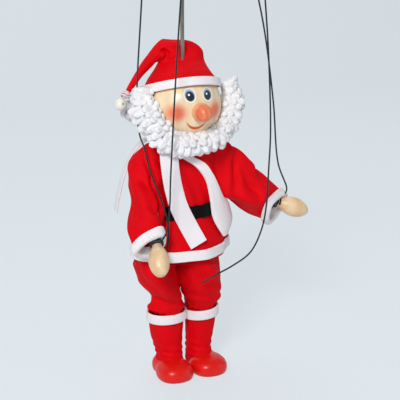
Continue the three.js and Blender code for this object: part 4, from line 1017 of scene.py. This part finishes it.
# Strap of the sack: a wider strip of white felt, laid over the left shoulder and pulled down across
# the chest to the belt's side, so that it puffs a little where the belt holds it.
# Angle round the coat, height and distance from it, for both edges
STRAP = [
    ((-115, 129.6, 0.6), (-95, 128.6, 0.6)), ((-91, 123.6, 0.6), (-74, 124.0, 0.6)),
    ((-78, 118.0, 0.6), (-62, 117.6, 0.6)), ((-69, 111.4, 0.7), (-50, 110.6, 0.7)),
    ((-65, 102.4, 1.8), (-34, 103.0, 2.2)), ((-61, 94.0, 1.9), (-12, 96.6, 5.4)),
    ((-54, 87.0, 1.4), (-10, 89.0, 6.2)), ((-44, 80.6, 0.9), (-27, 81.6, 2.2)),
]
rings = []
for share in shares(60):
    at = share * (len(STRAP) - 1)
    near = [STRAP[min(max(int(at) + d, 0), len(STRAP) - 1)] for d in (-1, 0, 1, 2)]
    first, second = (spline([Vector(n[edge]) for n in near], at - int(at)) for edge in (0, 1))
    upper_side, under_side = [], []
    for k in range(17):
        angle, z, off = first.lerp(second, k / 16)
        puff = 0.8 * sin(pi * k / 16) * bump(at, 5.6, 1.2)
        thin = FELT * (0.45 if k in (0, 16) else 1)
        upper_side.append(coat_point(z, radians(angle), off + puff + thin, 0.3))
        under_side.append(coat_point(z, radians(angle), off + puff, 0.3))
    rings.append(upper_side + list(reversed(under_side)))
strap = lofted("sack_strap_felt", rings, "capped", white_felt, "torso")
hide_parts("sack_strap")

# Sack: a soft bag of the same felt, filled with wadding and gathered to its strap at the top. It is
# blown up a little as cloth, so that it bulges between its gathers and sags at the bottom.
# Height, half width and half depth
SACK = [
    (71, 3.4, 1.7), (73, 8.7, 4.4), (79, 12.0, 6.0), (87, 12.8, 6.4), (96, 11.0, 5.8), (105, 8.3, 5.0),
    (113, 5.6, 3.3), (117.6, 4.2, 2.3),
]
SACK_FOOT, SACK_HIGH = 71, 47


def sack_ring(share):
    z, half_width, half_depth = between(SACK, share)
    high = (z - SACK_FOOT) / SACK_HIGH

    def wave(angle):
        gather = 0.55 * max(0.0, high - 0.45) * sin(11 * angle)
        return gather + 0.9 * rumpled(angle, 2, z * 0.07) - 0.2

    middle = Vector((lerp(28.5, 20, high), lerp(20.5, 16.5, high), z))
    return oval(middle, UP, half_width, half_depth, 72, wave)


rings = [sack_ring(share) for share in shares(48)]
sack = lofted("sack_felt", rings, "capped", white_felt, "torso")


def as_modified(piece):
    """A mesh of a piece as its modifiers leave it."""
    bpy.context.view_layer.update()
    finished = piece.evaluated_get(bpy.context.evaluated_depsgraph_get())
    return bpy.data.meshes.new_from_object(finished)


def remeshed(piece, voxel):
    even = piece.modifiers.new("even_mesh", "REMESH")
    even.mode = "VOXEL"
    even.voxel_size = voxel


def blown_up(piece, voxel, pressure, cap, top):
    """Remesh a closed piece, blow it up as cloth held above a height, and keep each move under cap."""
    remeshed(piece, voxel)
    piece.data = as_modified(piece)
    piece.modifiers.clear()
    before = [v.co.copy() for v in piece.data.vertices]
    held = piece.vertex_groups.new(name="held")
    held.add([v.index for v in piece.data.vertices if v.co.z > top], 1.0, "REPLACE")
    cloth = piece.modifiers.new("cloth", "CLOTH")
    cloth.settings.use_pressure = True
    cloth.settings.uniform_pressure_force = pressure
    cloth.settings.effector_weights.gravity = 0
    cloth.settings.vertex_group_mass = "held"
    for step in range(1, 21):
        scene.frame_set(step)
    after = as_modified(piece)
    piece.modifiers.clear()
    piece.vertex_groups.clear()
    for vertex, start, end in zip(piece.data.vertices, before, after.vertices):
        move = end.co - start
        vertex.co = start + move * min(1.0, cap / max(move.length, 1e-9))
    scene.frame_set(1)
    bm = bmesh.new()
    bm.from_mesh(piece.data)
    bmesh.ops.smooth_vert(
        bm, verts=bm.verts, factor=0.5, use_axis_x=True, use_axis_y=True, use_axis_z=True
    )
    bm.to_mesh(piece.data)
    bm.free()
    shade_round(piece.data, 180)
    finer = piece.modifiers.new("rounder", "SUBSURF")
    finer.levels = finer.render_levels = 1


blown_up(sack, voxel=0.0011, pressure=4.0, cap=0.0009, top=place((0, 0, 112)).z)
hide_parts("sack")

# Trousers: the same red cotton. The seat hangs under the coat from the torso block, and two full
# legs go round the thigh sticks, gathered at their lower ends into the boots.
# Height, half width, half depth and distance backwards of the seat's lower and upper edge
SEAT = [(67.8, 24.2, 14.8, -0.5), (82, 16.2, 7.8, 0)]


def seat_ring(share, offset):
    z, half_width, half_depth, y = between(SEAT, share)
    return oval(Vector((0, y, z)), UP, half_width, half_depth, 72, lambda angle: offset)


seat = sewn("trousers_seat_cloth", seat_ring, shares(12), "torso")
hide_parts("trousers_seat")
# Height, distance outwards and backwards, half width and half depth
LEG = {
    "left": [
        (36.6, 10.6, -0.2, 9, 9.4), (41, 10.8, -1, 10.2, 10.6), (47, 9.9, -2, 11.9, 11.8),
        (54.4, 8.7, -2.6, 13.4, 13), (62.8, 7.5, -2, 14.8, 14), (69, 6.9, -1, 15.2, 13.6),
    ],
    "right": [
        (36.6, 10.4, -0.2, 9, 9.4), (40, 10.4, -1, 10.0, 10.4), (45.4, 10.4, -2, 9.0, 11.2),
        (54, 15.2, -2.6, 11.4, 13), (63.4, 19.2, -2, 11.8, 14), (71.4, 18.6, -1, 11.4, 13),
    ],
}


def leg_ring(side, share, offset):
    sign = 1 if side == "left" else -1
    z, out, y, half_width, half_depth = between(LEG[side], share)

    def wave(angle):
        crease = 0.4 * sin(3 * angle + sign)
        gather = 0.35 * bump(share, 0.0, 0.25) * sin(15 * angle)
        knee = 0.6 * bump(share, 0.38, 0.18) * sin(26 * share + 2 * cos(angle + 1.2))
        rumple = noise.noise(Vector((2 * cos(angle) + 5 * sign, 2 * sin(angle), share * 4)))
        folds = 2.0 * fold_edge(3 * angle + 4.8 * share + 2 * sign) * share
        if side == "right":
            knee -= 1.6 * bump(share, 0.34, 0.1) * bump(cos(angle - 3.3), 1, 0.7)
            knee += 1.2 * bump(share, 0.14, 0.09) * bump(cos(angle - 3.3), 1, 0.9)
        return crease + gather + knee + 0.9 * rumple + folds - 0.3 + offset

    return oval(Vector((sign * out, y, z)), UP, half_width, half_depth, 80, wave)


for side, sign in (("left", 1), ("right", -1)):
    leg = sewn(side + "_trouser_cloth", lambda at, offset: leg_ring(side, at, offset), shares(36), None)
    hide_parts(side + "_trouser_leg")
    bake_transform(leg)

# Boots: a shaft of red cotton sewn round the shin stick, stuck down into a wooden foot, and edged
# with a strip of white felt. The cloth of the shaft wrinkles at the ankle.
# Height, half width, half depth and distance backwards
SHAFT = [
    (3.2, 8.0, 10.6, -1.0), (6.2, 7.6, 10.2, -1.4), (10.8, 6.9, 8.6, -0.5), (14.4, 7.2, 8.3, 0.0),
    (20, 7.9, 8.2, 0), (27, 8.7, 8.35, 0), (36, 9.3, 8.75, 0),
]
BOOT_WALL = 1.2
BOOT = {"left": 10.5, "right": -10.5}


def shaft_ring(side, share, offset):
    z, half_width, half_depth, y = between(SHAFT, share)
    sign = copysign(1, BOOT[side])
    half_width += (1.5 if side == "right" else 0.2) * share
    shift = -sign * 1.4 * bump(z, 11, 9) - (0.5 * share if side == "right" else 0)

    def wave(angle):
        wrinkle = 0.35 * bump(share, 0.42, 0.2) * sin(40 * share + 1.5 * cos(angle))
        return wrinkle + 0.4 * rumpled(angle, 2, share * 5 + sign) + offset

    return oval(Vector((BOOT[side] + shift, y, z)), UP, half_width, half_depth, 64, wave)


# The white edging's own half width, half depth and height
EDGE_WIDE, EDGE_DEEP, EDGE_UP = 9.4, 9.2, 33.1
for side in ("left", "right"):
    shaft = sewn(
        side + "_boot_cloth", lambda at, offset: shaft_ring(side, at, offset), shares(32),
        side + "_shin", BOOT_WALL,
    )
    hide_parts(side + "_boot_shaft")
    half_width = EDGE_WIDE + FELT / 2 + (1.3 if side == "right" else 0.3)
    stations = []
    for j in range(80):
        angle = 2 * pi * j / 80
        c, s = cos(angle), sin(angle)
        lift = 0.9 + 0.2 * c if side == "right" else 0.3 + 0.5 * c
        on = Vector((BOOT[side] + half_width * c, (EDGE_DEEP + FELT / 2) * s, EDGE_UP + lift))
        stations.append((on, Vector((c, s, 0)), UP))
    edging = strip_rings(stations, 5.6, FELT)
    cuff = lofted(side + "_boot_cuff_felt", edging, "looped", white_felt, side + "_shin")
    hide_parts(side + "_boot_cuff")

# Feet: soft wood, sawn and sanded to a round toe and a smaller heel, flat below, then dipped in thick
# glossy red paint. The paint has a slight orange peel and is a little darker where it is rubbed.
paint, tree, surface, where = start_material(
    "glossy_red_boot_paint", {"Coat Weight": 0.12, "Specular IOR Level": 0.35, "Coat Roughness": 0.2}
)
peel = add(tree, "TexNoise", {"Vector": where["Object"], "Scale": 220, "Detail": 2})
rub = add(tree, "TexNoise", {"Vector": where["Object"], "Scale": 60, "Detail": 5})
give(tree, surface.inputs["Roughness"], add(tree, "Math", [rub, 0.2, 0.26], operation="MULTIPLY_ADD"))
shade = add(tree, "Mix", {0: rub, 6: "dd0d06", 7: "ef180f"}, data_type="RGBA")
end_material(tree, surface, shade, peel, 0.12, 0.0003)
# Distance backwards, height, half width, half length and half height of toe, waist and heel
FOOT = ((-11.0, 3.0, 10.4, 10.8, 6.6), (-4.2, 3.2, 8.4, 7.0, 6.4), (0.6, 3.4, 8.4, 7.1, 6.6))


def squared(value, power):
    return copysign(abs(value) ** power, value)


for side in ("left", "right"):
    bm = bmesh.new()
    for y, z, wide, long, high in FOOT:
        made = bmesh.ops.create_uvsphere(bm, u_segments=40, v_segments=24, radius=1)["verts"]
        for vert in made:
            vert.co = Vector([squared(c, 0.85) for c in vert.co])
        size = Matrix.Diagonal((wide, long, high, 1000)) * 0.001
        moved = Matrix.Translation(place((BOOT[side], y, z)))
        bmesh.ops.transform(bm, matrix=moved @ size, verts=made)
    foot = finish_piece(side + "_boot_foot", bm, paint, side + "_shin", 50)
    remeshed(foot, 0.0006)
    soften = foot.modifiers.new("soften", "SMOOTH")
    soften.iterations = 10
    soften.factor = 0.6
    foot.data = as_modified(foot)
    foot.modifiers.clear()
    for vertex in foot.data.vertices:
        vertex.co.z = max(vertex.co.z, place((0, 0, 0)).z)
    shade_round(foot.data, 50)
    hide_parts(side + "_foot")
